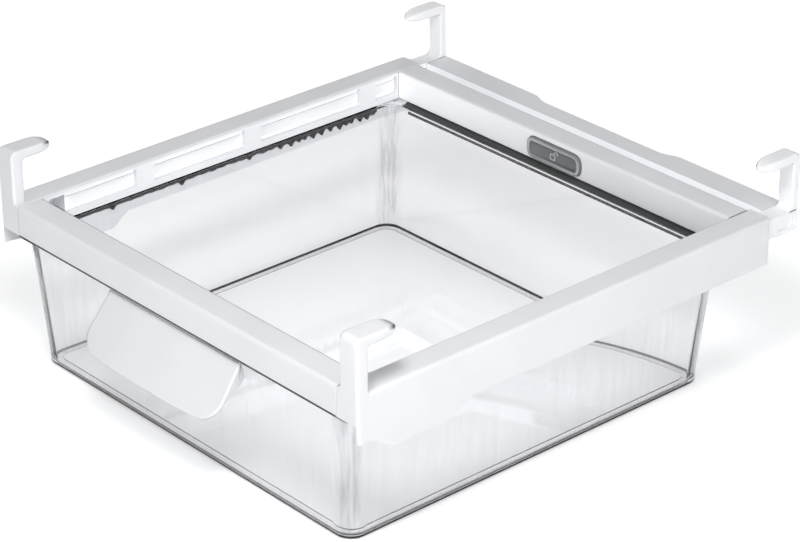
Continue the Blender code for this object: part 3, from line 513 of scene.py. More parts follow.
def merged_copy(node, above=None, before=None):
    """A copy of a solid, merged, its flat faces joined, and cut off above a height or in front of
    a depth."""
    bm = bmesh.new()
    bm.from_mesh(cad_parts[node].data)
    bmesh.ops.remove_doubles(bm, verts=bm.verts, dist=MERGE_REACH * MM)
    bmesh.ops.dissolve_limit(bm, angle_limit=math.radians(FLAT_ANGLE), verts=bm.verts, edges=bm.edges)
    for spot, normal in ((above, (0.0, 0.0, 1.0)), (before, (0.0, -1.0, 0.0))):
        if spot is None:
            continue
        level = place((0.0, spot, spot))
        cut = bmesh.ops.bisect_plane(bm, geom=bm.verts[:] + bm.edges[:] + bm.faces[:], plane_co=level,
                                     plane_no=normal, clear_outer=True, dist=MERGE_REACH / 2 * MM)
        rim = [item for item in cut["geom_cut"] if isinstance(item, bmesh.types.BMEdge)]
        bmesh.ops.contextual_create(bm, geom=rim)
    mesh = bpy.data.meshes.new(node + "_shell")
    bm.to_mesh(mesh)
    bm.free()
    mesh.polygons.foreach_set("use_smooth", np.ones(len(mesh.polygons), dtype=bool))
    return mesh


def tighten_corner(mesh, side):
    """Draw a rail's front corner out from its 4.5 mm radius to the post's 2 mm: each point of the
    corner keeps its angle, moves to the new centre and loses the difference from its radius."""
    spots = np.empty(len(mesh.vertices) * 3)
    mesh.vertices.foreach_get("co", spots)
    spots = spots.reshape(-1, 3)
    old = place((side * (HALF_WIDTH - RAIL_CORNER), RAIL_CORNER, 0.0))[:2]
    new = place((side * (HALF_WIDTH - POST_CORNER), POST_CORNER, 0.0))[:2]
    away = spots[:, :2] - old
    radius = np.linalg.norm(away, axis=1)
    less = (RAIL_CORNER - POST_CORNER) * MM
    moved = (away[:, 0] * side > -1e-6) & (away[:, 1] < 1e-6) & (radius > less + 0.1 * MM)
    unit = away[moved] / radius[moved][:, None]
    spots[moved, :2] = new + unit * (radius[moved] - less)[:, None]
    mesh.vertices.foreach_set("co", spots.ravel())
    return mesh


def even_normals(obj):
    """Weight an object's normals by face area, so that its broad faces shade flat."""
    normals = obj.modifiers.new("even_normals", "WEIGHTED_NORMAL")
    normals.keep_sharp = True
    return obj


def round_edges(obj):
    """Round an object's sharp edges, keeping its flat faces flat."""
    bevel = obj.modifiers.new("moulded_edges", "BEVEL")
    bevel.width = EDGE_ROLL * MM
    bevel.segments = EDGE_STEPS
    bevel.limit_method = "ANGLE"
    bevel.angle_limit = math.radians(EDGE_ANGLE)
    bevel.use_clamp_overlap = True
    return even_normals(obj)


def arc(centre, radius, start, end, steps):
    """Points of an arc in a plane, angles in degrees, as an array of (a, b)."""
    sweep = np.radians(np.linspace(start, end, steps + 1))
    return np.column_stack([centre[0] + radius * np.cos(sweep), centre[1] + radius * np.sin(sweep)])


def hook_rings(outer, inner, half_width, edge, middle, corner_side=0, corner=0.0):
    """Rings along a hook. outer and inner are matching (y, z) lines; each ring is a rounded
    rectangle from the inner line to the outer one, half_width to each side of x = middle,
    with edges of radius edge. corner rounds the outer line's edge on one side further."""
    outer, inner, half_width = np.asarray(outer), np.asarray(inner), np.asarray(half_width)
    thick = np.linalg.norm(outer - inner, axis=1)
    limit = 0.499 * np.minimum(thick, 2 * half_width)
    steps = 6
    rings = []
    corners = (
        (1, 1, corner if corner_side > 0 else edge),
        (-1, 1, corner if corner_side < 0 else edge),
        (-1, -1, edge),
        (1, -1, edge),
    )
    for turn, (side_x, side_t, radius) in enumerate(corners):
        angle = np.linspace(0.0, np.pi / 2, steps + 1) + turn * np.pi / 2
        round_here = np.minimum(radius, limit)[:, None]
        x = side_x * (half_width[:, None] - round_here) + round_here * np.cos(angle)[None, :]
        t = side_t * (thick[:, None] / 2 - round_here) + round_here * np.sin(angle)[None, :]
        rings.append((x, t))
    x = np.concatenate([pair[0] for pair in rings], axis=1)
    t = np.concatenate([pair[1] for pair in rings], axis=1)
    share = (t / thick[:, None] + 0.5)[..., None]
    flat = inner[:, None, :] * (1 - share) + outer[:, None, :] * share
    return np.concatenate([middle + x[..., None], flat], axis=2)


def nose(tip, back, top, under, length, height):
    """The lip's end: its top and underside close on a line at height above the underside, both
    as quarter ellipses over length, and its width shrinks as a quarter ellipse too."""
    turn = np.radians(np.linspace(0.0, 86.0, NOSE_STEPS + 1))[1:]
    along = tip - back * length * (1 - np.sin(turn))
    level = under + height
    outer = np.column_stack([along, level + (top - level) * np.cos(turn) ** 0.9])
    inner = np.column_stack([along, level - (level - under) * np.cos(turn) ** 0.6])
    return outer, inner, np.cos(turn) ** 0.75


def front_hook(side):
    """Post, bend and lip of a front hook: straight up, round a bend of 4 mm, then back 28 mm."""
    bend = FRONT_BEND
    outer = np.concatenate([
        [(0.0, mark) for mark in POST_MARKS],
        arc((bend, HOOK_TOP - bend), bend, 180.0, 90.0, BEND_STEPS),
        [(FRONT_TURN[0], HOOK_TOP), (FRONT_REACH - NOSE_LENGTH, HOOK_TOP)],
    ])
    inner = np.concatenate([
        [(POST_DEPTH, mark) for mark in POST_MARKS],
        arc((POST_DEPTH + THROAT, HOOK_UNDER - THROAT), THROAT, 180.0, 90.0, BEND_STEPS),
        [(FRONT_TURN[1], HOOK_UNDER), (FRONT_REACH - NOSE_LENGTH, HOOK_UNDER)],
    ])
    end_outer, end_inner, narrowing = nose(FRONT_REACH, 1, HOOK_TOP, HOOK_UNDER, NOSE_LENGTH, NOSE_HEIGHT)
    widths = np.concatenate([np.ones(len(outer)), narrowing]) * POST_WIDTH / 2
    middle = side * (HALF_WIDTH - POST_WIDTH / 2)
    rings = hook_rings(np.concatenate([outer, end_outer]), np.concatenate([inner, end_inner]),
                       widths, HOOK_EDGE, middle, side, POST_CORNER)
    # A hair proud of the rail's own faces, so that the two never share a plane
    return skin("front_hook", rings + (side * PROUD, -PROUD, 0.0))


def rear_hook(side):
    """Post, bend and lip of a rear hook: up from a flared foot, round a bend, then forward 27 mm."""
    face = CLAMP_REAR - REAR_POST_DEPTH
    low = ARM_TOP
    outer = np.concatenate([
        [(CLAMP_REAR, low + rise) for rise in REAR_RISES],
        [(CLAMP_REAR, mark) for mark in REAR_MARKS],
        arc((CLAMP_REAR - REAR_BEND, HOOK_TOP - REAR_BEND), REAR_BEND, 0.0, 90.0, BEND_STEPS),
        [(REAR_TURN[0], HOOK_TOP), (CLAMP_REAR - REAR_REACH + REAR_NOSE_LENGTH, HOOK_TOP)],
    ])
    foot = arc((face - REAR_FILLET, low + REAR_FILLET), REAR_FILLET, -90.0, 0.0, 4)
    inner = np.concatenate([
        [(face - REAR_FILLET, low + REAR_RISES[0])],
        foot[1:],
        [(face, mark) for mark in REAR_MARKS],
        arc((face - REAR_THROAT, HOOK_UNDER - REAR_THROAT), REAR_THROAT, 0.0, 90.0, BEND_STEPS),
        [(REAR_TURN[1], HOOK_UNDER), (CLAMP_REAR - REAR_REACH + REAR_NOSE_LENGTH, HOOK_UNDER)],
    ])
    end_outer, end_inner, narrowing = nose(CLAMP_REAR - REAR_REACH, -1, HOOK_TOP, HOOK_UNDER,
                                           REAR_NOSE_LENGTH, NOSE_HEIGHT)
    half_width = (ARM_OUTER - ARM_INNER) / 2
    widths = np.concatenate([np.ones(len(outer)), narrowing]) * half_width
    middle = side * (ARM_INNER + ARM_OUTER) / 2
    rings = hook_rings(np.concatenate([outer, end_outer]), np.concatenate([inner, end_inner]),
                       widths, REAR_EDGE, middle)
    return skin("rear_hook", rings)


def add_white_mouldings(white, arm_white, beam_white, plate_white):
    """The frame's four mouldings and the clamp's three, with hooks of their own smooth skin."""
    for label, side in (("left", -1), ("right", 1)):
        node = f"side_rail_{label}"
        rail = joined(node + "_shell", tighten_corner(merged_copy(node, above=0.0), side), front_hook(side))
        round_edges(new_piece(node + "_shell", rail, white, "frame", "white_plastic", node))
        node = f"rear_bracket_{label}"
        arm = joined(node + "_shell", merged_copy(node, above=ARM_TOP), rear_hook(side))
        round_edges(new_piece(node + "_shell", arm, arm_white, "rear_clamp", "white_plastic", node))
    beams = (("front_beam", "frame", white), ("back_beam", "frame", beam_white),
             ("rear_plate", "rear_clamp", plate_white))
    for node, body, material in beams:
        round_edges(new_piece(node + "_shell", merged_copy(node), material, body, "white_plastic", node))


def button_ring(inset, y):
    """The button's outline at a depth: a rounded oblong drawn in by an amount."""
    half = BUTTON_WIDTH / 2 - inset
    low, high = BUTTON_TOP - BUTTON_HEIGHT + inset, BUTTON_TOP - inset
    flat = rounded_ring(half, low, high, max(BUTTON_CORNER - inset, 0.6), 0.0, 10)
    return np.column_stack([flat[:, 0], np.full(len(flat), y), flat[:, 1]])


def button_pad():
    """The button's pad: a rolled rim, then a smooth slope down into a flat dish."""
    face = BEAM_FACE - BUTTON_PROUD
    roll = np.radians(np.linspace(0.0, 90.0, 7))
    rim_in = BUTTON_ROLL + BUTTON_RIM
    slope = np.linspace(0.0, 1.0, 9)
    rings = [button_ring(0.0, BEAM_FACE + BUTTON_SINK)]
    rings += [
        button_ring(BUTTON_ROLL * (1 - math.cos(a)), face + BUTTON_ROLL * (1 - math.sin(a)))
        for a in roll
    ]
    rings += [
        button_ring(rim_in + BUTTON_SLOPE * s, face + BUTTON_DISH * (1 - math.cos(math.pi * s)) / 2)
        for s in slope
    ]
    rings = np.stack(rings)
    row = np.arange(len(rings))[:, None]
    # Painted highlight: the rim is palest at its top left and lower right; painted shade darkens the slope
    # below it
    across, rise = rings[..., 0] / BUTTON_WIDTH, rings[..., 2] - BUTTON_TOP + BUTTON_HEIGHT / 2
    lean = (across - rise / BUTTON_HEIGHT) * 1.1
    painted_highlight = np.exp(-((row - 7.5) / 2.2) ** 2) * np.clip(0.5 + np.abs(lean), 0.0, 1.0)
    sunk = np.exp(-((row - 12.5) / 2.6) ** 2) * np.clip(0.55 + 0.9 * across, 0.0, 1.0)
    return skin("button_pad", rings, {"rim_wear": painted_highlight, "dish_shade": sunk})


def ribbon(name, path, width, low, high):
    """A flat line in x and z swept to a width on each side of its path, from depth low to high."""
    path = np.asarray(path)
    ahead = np.gradient(path, axis=0)
    ahead /= np.linalg.norm(ahead, axis=1)[:, None]
    across = np.column_stack([-ahead[:, 1], ahead[:, 0]]) * width / 2
    left, right = path + across, path - across
    rings = [np.column_stack([line[:, 0], np.full(len(path), y), line[:, 1]])
             for line, y in ((left, low), (right, low), (right, high), (left, high))]
    return skin(name, np.stack(rings, axis=1))


def lock_sign():
    """The open-lock sign, proud of the dish: a square outline and a hoop that has swung out of it."""
    floor = BEAM_FACE - BUTTON_PROUD + BUTTON_DISH
    middle = BUTTON_TOP - BUTTON_HEIGHT / 2 - SIGN_DROP
    box = rounded_ring(SIGN_HALF, middle - SIGN_TALL, middle + SIGN_TALL, SIGN_CORNER, 0.0, 3)
    box = box[:, :2] - (SIGN_ASIDE, 0.0)
    body = np.concatenate([box, box[:1] + (0.0, -0.03)])
    hoop = np.concatenate([[(0.6, middle + 1.7), (0.6, middle + 2.2)],
                           arc((1.9, middle + 2.4), 1.3, 180.0, 0.0, 12), [(3.2, middle + 1.8)]])
    low, high = floor - SIGN_PROUD, floor + SIGN_ROOT
    return joined("lock_sign", ribbon("sign_body", body, SIGN_LINE, low, high),
                  ribbon("sign_hoop", hoop, SIGN_LINE, low, high))


def rounded_ring(half, front, rear, radius, z, steps):
    """One closed ring: a rectangle with arcs at its corners, as an array of points."""
    angles = np.linspace(0.0, np.pi / 2, steps + 1)
    corners = []
    centres = ((half - radius, rear - radius, 0), (radius - half, rear - radius, 1),
               (radius - half, front + radius, 2), (half - radius, front + radius, 3))
    for x, y, turn in centres:
        sweep = angles + turn * np.pi / 2
        corners.append(np.stack([x + radius * np.cos(sweep), y + radius * np.sin(sweep)], axis=1))
    ring = np.concatenate(corners)
    return np.column_stack([ring, np.full(len(ring), z)])


def tub_ring(inset, z, out=(0.0, 0.0, 0.0)):
    """The tub's ring at a height: it narrows evenly downwards, and out widens sides, front and rear."""
    share = np.clip((TUB_RIM_LOW - z) / (TUB_RIM_LOW - TUB_BOTTOM), 0.0, 1.0)
    half = TUB_TOP_HALF - TUB_DRAFT[0] * share - inset + out[0]
    front = TUB_FRONT + TUB_DRAFT[1] * share + inset - out[1]
    rear = TUB_REAR - TUB_DRAFT[2] * share - inset + out[2]
    radius = TUB_CORNER if inset < TUB_WALL - 1.5 else TUB_INNER_CORNER
    return rounded_ring(half, front, rear, max(radius - inset, 1.0), z, TUB_STEPS)


def tub_mesh():
    """The tub from under its base, up the outside, over the rim and down inside to the floor."""
    floor_top = TUB_BOTTOM + TUB_FLOOR
    foot_in = TUB_FOOT + TUB_BEND
    bend = np.linspace(0.0, np.pi / 2, 9)
    round_over = np.linspace(0.0, np.pi / 2, 5)
    rings = [
        tub_ring(foot_in + TUB_FOOT_LEAN, TUB_BOTTOM + TUB_FOOT_HEIGHT),
        tub_ring(foot_in, TUB_BOTTOM),
    ]
    rings += [tub_ring(TUB_BEND * (1 - np.sin(a)), TUB_BOTTOM + TUB_BEND * (1 - np.cos(a))) for a in bend]
    rings += [tub_ring(0.0, TUB_BOTTOM + TUB_BEND + 0.7), tub_ring(0.0, TUB_RIM_LOW)]
    low = [(TUB_EDGE * (1 - np.sin(a)), TUB_RIM_LOW + TUB_EDGE * (1 - np.cos(a))) for a in round_over]
    high = [(TUB_EDGE * (1 - np.cos(a)), TUB_RIM_HIGH - TUB_EDGE * (1 - np.sin(a))) for a in round_over]
    rings += [tub_ring(inset, z, RIM_OUT) for inset, z in low + high]
    over = [(TUB_WALL - TUB_EDGE * (1 - np.sin(a)), TUB_RIM_HIGH - TUB_EDGE * (1 - np.cos(a)))
            for a in round_over]
    rings += [tub_ring(inset, z) for inset, z in over]
    rings += [
        tub_ring(TUB_WALL + TUB_INNER_BEND * (1 - np.sin(a)), floor_top + TUB_INNER_BEND * (1 - np.cos(a)))
        for a in bend[::-1]
    ]
    rings += [
        tub_ring(foot_in + TUB_FOOT_SIDE, floor_top),
        tub_ring(foot_in + TUB_FOOT_SIDE + TUB_FOOT_HEIGHT, floor_top + TUB_FOOT_HEIGHT),
    ]
    # Shares for the material: painted shade on the foot's outer bend, painted reflection streaks down the
    # corners
    foot_edge = np.zeros((len(rings), len(rings[0])))
    foot_edge[2:2 + len(bend)] = 1.0
    around = np.linspace(-1.0, 1.0, TUB_STEPS + 1)
    corner = np.tile(np.clip(1.15 - around ** 2, 0.0, 1.0), 4)
    wall_corner = np.tile(corner, (len(rings), 1))
    wall_corner[:3], wall_corner[-4:] = 0.0, 0.0
    return skin("drawer_tub", rings, {"foot_edge": foot_edge, "wall_corner": wall_corner})


def bar(name, start, end, low, high, lumps=(), reach=0.0):
    """A long thin bar between two lines. start and end are (x, y) pairs: its inner and outer line's
    ends. Its cross-section is a rectangle from low to high; at each lump (a share of the length) a
    bell curve of about 2 mm pushes the underside down by reach and the inner line out by 0.3 of it,
    and between lumps the underside waves as two sines of 7 and 19 mm, deeper towards the end."""
    inner_a, outer_a = np.array(start[0]), np.array(start[1])
    inner_b, outer_b = np.array(end[0]), np.array(end[1])
    length = np.linalg.norm(inner_b - inner_a)
    waves = [np.linspace(0.0, 1.0, BEAD_STEPS)] if reach else []
    bells = [lump + np.linspace(-4, 4, 13) / length for lump in lumps]
    share = np.unique(np.concatenate([[0.0, 1.0]] + waves + bells))
    share = share[(share >= 0) & (share <= 1)]
    swell = sum((np.exp(-((share - lump) * length / LUMP_SPREAD) ** 2) for lump in lumps), 0 * share)
    across = (inner_a - outer_a) / np.linalg.norm(inner_a - outer_a)
    inner = inner_a + share[:, None] * (inner_b - inner_a) + swell[:, None] * across * reach * 0.3
    outer = outer_a + share[:, None] * (outer_b - outer_a)
    run = 2 * np.pi * share * length
    short, long = BEAD_WAVES
    wave = 0.1 * reach * (2 + np.sin(run / short) + np.sin(run / long)) * (0.5 + 2.4 * share ** 2)
    low, high = low - reach * swell - wave, high + 0 * swell
    rings = np.stack([
        np.column_stack([inner, low]), np.column_stack([inner, high]),
        np.column_stack([outer, high]), np.column_stack([outer, low]),
    ], axis=1)
    return skin(name, rings)


def rim_shade_strips():
    """Dark strips of painted shade on the rim, where it reads dark from the shaded slots behind it:
    a flat band on top of each side and a thin bead under the flange, with dark lumps at listed
    places, and a lip at the front for the shadow line under the front beam; the corners stay free."""
    top, under = TUB_RIM_HIGH + RIM_SHADE, TUB_RIM_LOW - BEAD_GAP
    base = TUB_RIM_HIGH - RIM_SHADE_SINK
    lip = TUB_WALL - RIM_SHADE_LIP
    front_y, rear_y = RIM_SHADE_RUN
    bars = []
    for side in (-1, 1):
        inner, outer = side * (TUB_TOP_HALF - lip), side * (TUB_TOP_HALF + RIM_OUT[0] - 1.0)
        bars.append(bar("side_band", ((inner, front_y), (outer, front_y)),
                        ((inner, rear_y), (outer, rear_y)), base, top))
        wall, bead = side * (TUB_TOP_HALF + 0.05), side * (TUB_TOP_HALF + 0.5)
        lumps = [(y - front_y) / (rear_y - front_y) for y in RIM_SHADE_LUMPS]
        bars.append(bar("side_bead", ((wall, front_y), (bead, front_y)),
                        ((wall, rear_y), (bead, rear_y)), under - BEAD_THICK, under, lumps, LUMP_REACH))
    inner, outer = TUB_REAR - lip, TUB_REAR + RIM_OUT[2] - 1.0
    (left_in, left_out), (right_in, right_out) = REAR_BAND
    bars.append(bar("rear_band", ((left_in, inner), (left_out, outer)),
                    ((right_in, inner), (right_out, outer)), base, top))
    wall, bead = TUB_REAR + 0.05, TUB_REAR + 0.9
    left, right = REAR_BEAD
    bars.append(bar("rear_bead", ((left, wall), (left, bead)), ((right, wall), (right, bead)),
                    under - RIM_SHADE_BEAD, under))
    inner, outer = TUB_FRONT + lip, TUB_FRONT - RIM_OUT[1] + 0.3
    bars.append(bar("front_band", ((-FRONT_BAND, inner), (-FRONT_BAND, outer)),
                    ((FRONT_BAND, inner), (FRONT_BAND, outer)), base, top))
    # The front lip: a dark strip of painted shade for the shadow line under the front beam
    inner, outer = TUB_FRONT - RIM_OUT[1] + 0.1, TUB_FRONT - RIM_OUT[1] - 0.35
    bars.append(bar("front_lip", ((-RIM_SHADE_END, inner), (-RIM_SHADE_END, outer)),
                    ((RIM_SHADE_END, inner), (RIM_SHADE_END, outer)), TUB_RIM_LOW + 1.05, top))
    return joined("rim_shade_strips", *bars)


def foot_line():
    """The dark sheet of painted shade on the foot's outer bend, where it is seen edge-on: a thin shell
    over the tub's own bend, from 20 degrees up to the wall and 0.6 mm on, with its inner side just
    inside the plastic."""
    bend = np.radians(np.linspace(FOOT_LINE_FROM, 90.0, 7))
    outer = [
        (TUB_BEND * (1 - math.sin(a)) - FOOT_LINE_PROUD * math.sin(a), TUB_BEND * (1 - math.cos(a)))
        for a in bend
    ]
    outer.append((-FOOT_LINE_PROUD, TUB_BEND + FOOT_LINE_UP))
    inner = [(inset + FOOT_LINE_IN, height + FOOT_LINE_IN / 10) for inset, height in outer[::-1]]
    rings = [tub_ring(inset, TUB_BOTTOM + height) for inset, height in outer + inner]
    return skin("foot_line", rings, loop=True)


def wall_front(z):
    """Where the tub's front wall has its outer face at a height."""
    return TUB_FRONT + TUB_DRAFT[1] * (TUB_RIM_LOW - z) / (TUB_RIM_LOW - TUB_BOTTOM)


def pull_outline():
    """The pull's face, closed: straight top, slightly flared sides, round lower corners and a
    lower edge bowed as a parabola; x across, b down the face."""
    wide = PULL_HALF + PULL_FLARE
    base = PULL_LENGTH - PULL_BOW
    radius = PULL_CORNER
    tops = arc((PULL_HALF - PULL_TOP_CORNER, -PULL_TOP_CORNER), PULL_TOP_CORNER, 90.0, 0.0, 4)
    corner = arc((wide - radius, radius - base), radius, 0.0, -84.0, 14)
    end_x, end_b = corner[-1]
    across = np.linspace(end_x, 0.0, 14)[1:]
    fall = (end_b + PULL_LENGTH) / end_x ** 2
    right = np.concatenate([tops, corner, np.column_stack([across, fall * across ** 2 - PULL_LENGTH])])
    left = right[:-1][::-1] * (-1.0, 1.0)
    return np.concatenate([right, left])


def grown_in(outline, inset):
    """A closed outline drawn in along its own normals, found from its neighbours."""
    ahead = np.roll(outline, -1, axis=0) - np.roll(outline, 1, axis=0)
    ahead /= np.linalg.norm(ahead, axis=1)[:, None]
    inwards = np.column_stack([ahead[:, 1], -ahead[:, 0]])
    return outline + inwards * inset


def pull_face():
    """The leaning plate: its outline through rings that roll over at the front and back edges."""
    outline = pull_outline()
    roll = np.radians(np.linspace(90.0, 0.0, 6))
    levels = [(PULL_EDGE * (1 - math.cos(a)), -PULL_EDGE * (1 - math.sin(a))) for a in roll]
    levels += [
        (PULL_EDGE * (1 - math.cos(a)), PULL_EDGE * (1 - math.sin(a)) - PULL_THICK) for a in roll[::-1]
    ]
    down = np.array([-math.sin(PULL_LEAN), -math.cos(PULL_LEAN)])
    out = np.array([-math.cos(PULL_LEAN), math.sin(PULL_LEAN)])
    start = np.array([TUB_FRONT - PULL_STAND_OFF, PULL_TOP])
    rings = []
    for inset, depth in levels:
        flat = grown_in(outline, inset)
        spots = start - flat[:, 1:] * down + depth * out
        rings.append(np.column_stack([flat[:, 0], spots]))
    return skin("pull_face", rings)


def slab_rings(outline, low, high, edge):
    """A flat (y, z) outline thickened across x, its two faces' edges rolled over by edge."""
    roll = np.radians(np.linspace(0.0, 90.0, 4))
    levels = [(edge * (1 - math.sin(a)), low + edge * (1 - math.cos(a))) for a in roll]
    levels += [(edge * (1 - math.sin(a)), high - edge * (1 - math.cos(a))) for a in roll[::-1]]
    rings = []
    for inset, x in levels:
        flat = grown_in(outline, inset)
        rings.append(np.column_stack([np.full(len(flat), x), flat]))
    return np.stack(rings)


def cheek_outline():
    """Side web of the pull: from just under the plate's face back to the wall, then a scooped
    curve (a cubic through two leading points) out to the plate's lower part."""
    low = PULL_TOP - STRIP_HEIGHT
    down = np.array([-math.sin(PULL_LEAN), -math.cos(PULL_LEAN)])
    back = np.array([math.cos(PULL_LEAN), -math.sin(PULL_LEAN)])
    start = np.array([TUB_FRONT - PULL_STAND_OFF, PULL_TOP]) + back * 0.5
    end = start + back * 0.6 + down * CHEEK_LENGTH
    wall = np.array([(wall_front(PULL_TOP) - WALL_SINK, PULL_TOP), (wall_front(low) - WALL_SINK, low + 1.2)])
    first = wall[-1]
    bend_a, bend_b = first + (-0.6, -3.4), end - down * 12.0 + back * 1.6
    share = np.linspace(0.0, 1.0, 14)[1:, None]
    scoop = ((1 - share) ** 3 * first + 3 * share * (1 - share) ** 2 * bend_a
             + 3 * share ** 2 * (1 - share) * bend_b + share ** 3 * end)
    plate = start + down * np.linspace(24.0, 2.0, 6)[:, None]
    return np.concatenate([wall, scoop, plate, [start + down * 0.3]])


def pull_mesh():
    """The whole pull: leaning plate, a strip along the wall and a web at each end."""
    low = PULL_TOP - STRIP_HEIGHT
    strip = np.array([
        (TUB_FRONT - PULL_STAND_OFF + 0.6, PULL_TOP),
        (wall_front(PULL_TOP) - WALL_SINK, PULL_TOP),
        (wall_front(low) - WALL_SINK, low),
        (wall_front(low) - WALL_SINK - STRIP_THICK, low),
    ])
    end = PULL_HALF - STRIP_INSET
    web = slab_rings(cheek_outline(), PULL_HALF - CHEEK_THICK, PULL_HALF, CHEEK_EDGE)
    web[..., 0] += PULL_FLARE * np.clip((PULL_TOP - web[..., 2]) / 16.0, 0.0, 1.0) - 0.05
    return joined("drawer_pull", pull_face(), skin("pull_strip", slab_rings(strip, -end, end, STRIP_EDGE)),
                  skin("pull_web", web), skin("pull_web", web * (-1.0, 1.0, 1.0)))


def photo_camera():
    """A long lens at the front right, aimed a little down, in the photograph's frame."""
    azimuth = math.radians(VIEW_AZIMUTH)
    elevation = math.radians(VIEW_ELEVATION)
    back = Vector((math.sin(azimuth) * math.cos(elevation), -math.cos(azimuth) * math.cos(elevation),
                   math.sin(elevation)))
    right = (-back).cross(Vector((0, 0, 1))).normalized()
    up = right.cross(-back)
    roll = Matrix.Rotation(math.radians(VIEW_ROLL), 3, back)
    turned_right, turned_up = roll @ right, roll @ up
    spot = Vector(place(VIEW_TARGET)) + (back * VIEW_DISTANCE + right * VIEW_ASIDE + up * VIEW_ABOVE) * MM
    lens = bpy.data.cameras.new("photo_camera")
    lens.sensor_width = SENSOR_WIDTH
    lens.lens = FOCAL_PIXELS * SENSOR_WIDTH / PICTURE[0]
    camera = bpy.data.objects.new("photo_camera", lens)
    bpy.context.scene.collection.objects.link(camera)
    axes = Matrix((turned_right, turned_up, back)).transposed().to_4x4()
    camera.matrix_world = Matrix.Translation(spot) @ axes
    bpy.context.scene.camera = camera


def soft_lamp(name, spot, aim, size, power):
    """A square softbox at a place in metres, turned to a point."""
    data = bpy.data.lights.new(name, "AREA")
    data.shape = "SQUARE"
    data.size = size
    data.energy = power
    lamp = bpy.data.objects.new(name, data)
    bpy.context.scene.collection.objects.link(lamp)
    lamp.location = spot
    lamp.rotation_euler = (Vector(aim) - Vector(spot)).to_track_quat("-Z", "Y").to_euler()
    lamp.visible_camera = False
    lamp.visible_glossy = False
    lamp.visible_transmission = False


def rays_that_look(tree):
    """The camera ray's socket, and a node with 1 for camera, glossy and transmission rays, which
    see the backdrop, and 0 for light rays."""
    path = add_node(tree, "LightPath").outputs
    first = add_node(tree, "Math", {"operation": "MAXIMUM"},
                     {0: path["Is Camera Ray"], 1: path["Is Transmission Ray"]})
    both = add_node(tree, "Math", {"operation": "MAXIMUM"}, {0: first, 1: path["Is Glossy Ray"]})
    return path["Is Camera Ray"], both


def white_studio():
    """A white floor and world: pure white where the camera, a gloss or the clear plastic looks at it."""
    world = bpy.data.worlds.new("white_studio")
    bpy.context.scene.world = world
    world.use_nodes = True
    tree = world.node_tree
    tree.nodes.clear()
    camera_ray, seen = rays_that_look(tree)
    height = add_node(tree, "SeparateXYZ", Vector=add_node(tree, "TexCoord").outputs["Generated"])
    sky = add_node(tree, "MapRange", {"interpolation_type": "SMOOTHSTEP",
                                      "span": (*SKY_BAND, WORLD_LOW, 1.0)}, Value=height.outputs["Z"])
    looked = add_node(tree, "Math", {"operation": "MAXIMUM"}, {0: sky, 1: camera_ray})
    strength = add_node(tree, "Mix", {"data_type": "FLOAT", 2: WORLD_LIGHT}, {0: seen, 3: looked})
    light = add_node(tree, "Background", {"Color": "#FFFFFF"}, Strength=strength)
    add_node(tree, "OutputWorld", Surface=light)

    floor_mesh = bpy.data.meshes.new("studio_floor")
    reach = FLOOR_REACH
    corners = [(-reach, -reach, 0), (reach, -reach, 0), (reach, reach, 0), (-reach, reach, 0)]
    floor_mesh.from_pydata(corners, [], [(0, 1, 2, 3)])
    floor = bpy.data.objects.new("studio_floor", floor_mesh)
    bpy.context.scene.collection.objects.link(floor)
    material, tree, spot = fresh_material("matte_white_board")
    camera_ray, seen = rays_that_look(tree)
    matte = add_node(tree, "BsdfDiffuse", {"Color": "#F4F5F6"})
    away = add_node(tree, "VectorMath", {"operation": "LENGTH"}, {0: spot}).outputs["Value"]
    looked = add_node(tree, "MapRange", {"span": (*GLOW_BAND, *FLOOR_GLOW)}, Value=away)
    through = add_node(tree, "MapRange", {"span": (*THROUGH_BAND, *FLOOR_THROUGH)}, Value=away)
    choice = add_node(tree, "Mix", {"data_type": "FLOAT"}, {0: camera_ray, 2: through, 3: looked})
    lift = add_node(tree, "Math", {"operation": "MULTIPLY"}, {0: seen, 1: choice})
    glow = add_node(tree, "Emission", {"Color": "#FFFFFF"}, Strength=lift)
    both = add_node(tree, "AddShader", None, {0: matte, 1: glow})
    add_node(tree, "OutputMaterial", Surface=both)
    floor_mesh.materials.append(material)


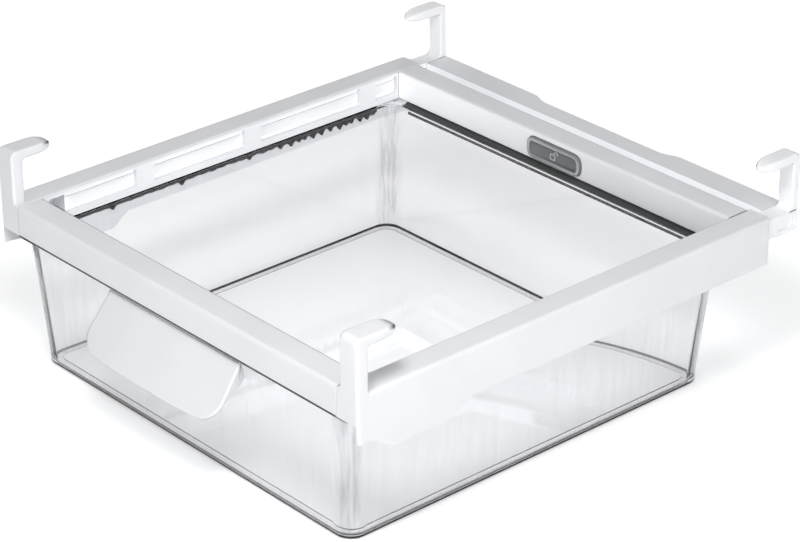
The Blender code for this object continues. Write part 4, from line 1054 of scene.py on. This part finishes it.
def build():
    """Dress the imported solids, then set up the camera, the studio and its lamps."""
    rail_levels, arm_levels = (SKIRT_LEVEL, WALL_LEVEL), (SKIRT_LEVEL, ARM_LEVEL)
    rail_look = (RAIL_TINTS, RAIL_INNER, rail_levels)
    # Lit copies of the white: the back beam, the rear plate and the brackets differ from the rails in
    # painted light, the brackets also in paler tints and painted shadow lines
    white = moulded_abs("moulded_white_abs", *rail_look, (SKIRT_LIFT, WALL_LIFT))
    beam_white = moulded_abs("white_abs_of_back_beam", *rail_look, (0.0, 0.0), BEAM_FACING)
    plate_white = moulded_abs("white_abs_of_rear_plate", *rail_look, (0.0, 0.0), PLATE_FACING)
    arm_white = moulded_abs("white_abs_of_brackets", ARM_TINTS, BRACKET_INNER, arm_levels,
                            (ARM_LIFT, ARM_LIFT), lines=PAINTED_SHADOW_LINES, glow=ARM_GLOW)
    clear = clear_styrene()
    grey = soft_grip()
    pads_and_rim_shade = rubber_and_rim_shade()
    steel = zinc_steel()
    add_white_mouldings(white, arm_white, beam_white, plate_white)
    even_normals(new_piece("drawer_pull", pull_mesh(), white, "drawer", "white_plastic", "drawer_handle"))
    even_normals(new_piece("drawer_tub", tub_mesh(), clear, "drawer", "clear_plastic", "drawer_bin"))
    # An opaque dark sheet of painted shade over the foot's outer bend
    new_piece("foot_line", foot_line(), foot_shade_sheet(), "drawer", "clear_plastic")
    # Dark strips of painted shade on the rim
    new_piece("rim_shade_strips", rim_shade_strips(), pads_and_rim_shade, "drawer", "dark_rubber")
    behind = merged_copy("lock_button", before=BEAM_FACE + 1.0)
    button = joined("lock_button_pad", button_pad(), behind)
    even_normals(new_piece("lock_button_pad", button, grey, "lock_button", "grey_plastic", "lock_button"))
    # The raised sign in a paler grey: painted highlight
    new_piece("lock_sign", lock_sign(), sign_highlight(), "lock_button", "grey_plastic")
    coil = new_piece("button_spring_coil", merged_copy("button_spring"), steel, "frame", "steel",
                     "button_spring")
    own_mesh(coil)
    kept = {
        white: ("lock_bar_left", "lock_bar_right"),
        pads_and_rim_shade: ("lock_pad_left", "lock_pad_right"),
        clear: ("handle_rivet_left", "handle_rivet_right"),
        steel: ("corner_screw_front_left", "corner_screw_front_right", "corner_screw_back_left",
                "corner_screw_back_right", "bracket_screw_left", "bracket_screw_right"),
    }
    for material, nodes in kept.items():
        for node in nodes:
            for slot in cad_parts[node].material_slots:
                slot.material = material
    photo_camera()
    white_studio()
    for name, (spot, aim, size, power) in SOFTBOXES.items():
        soft_lamp(name, spot, aim, size, power)
    bpy.context.scene.view_settings.view_transform = "Standard"


build()
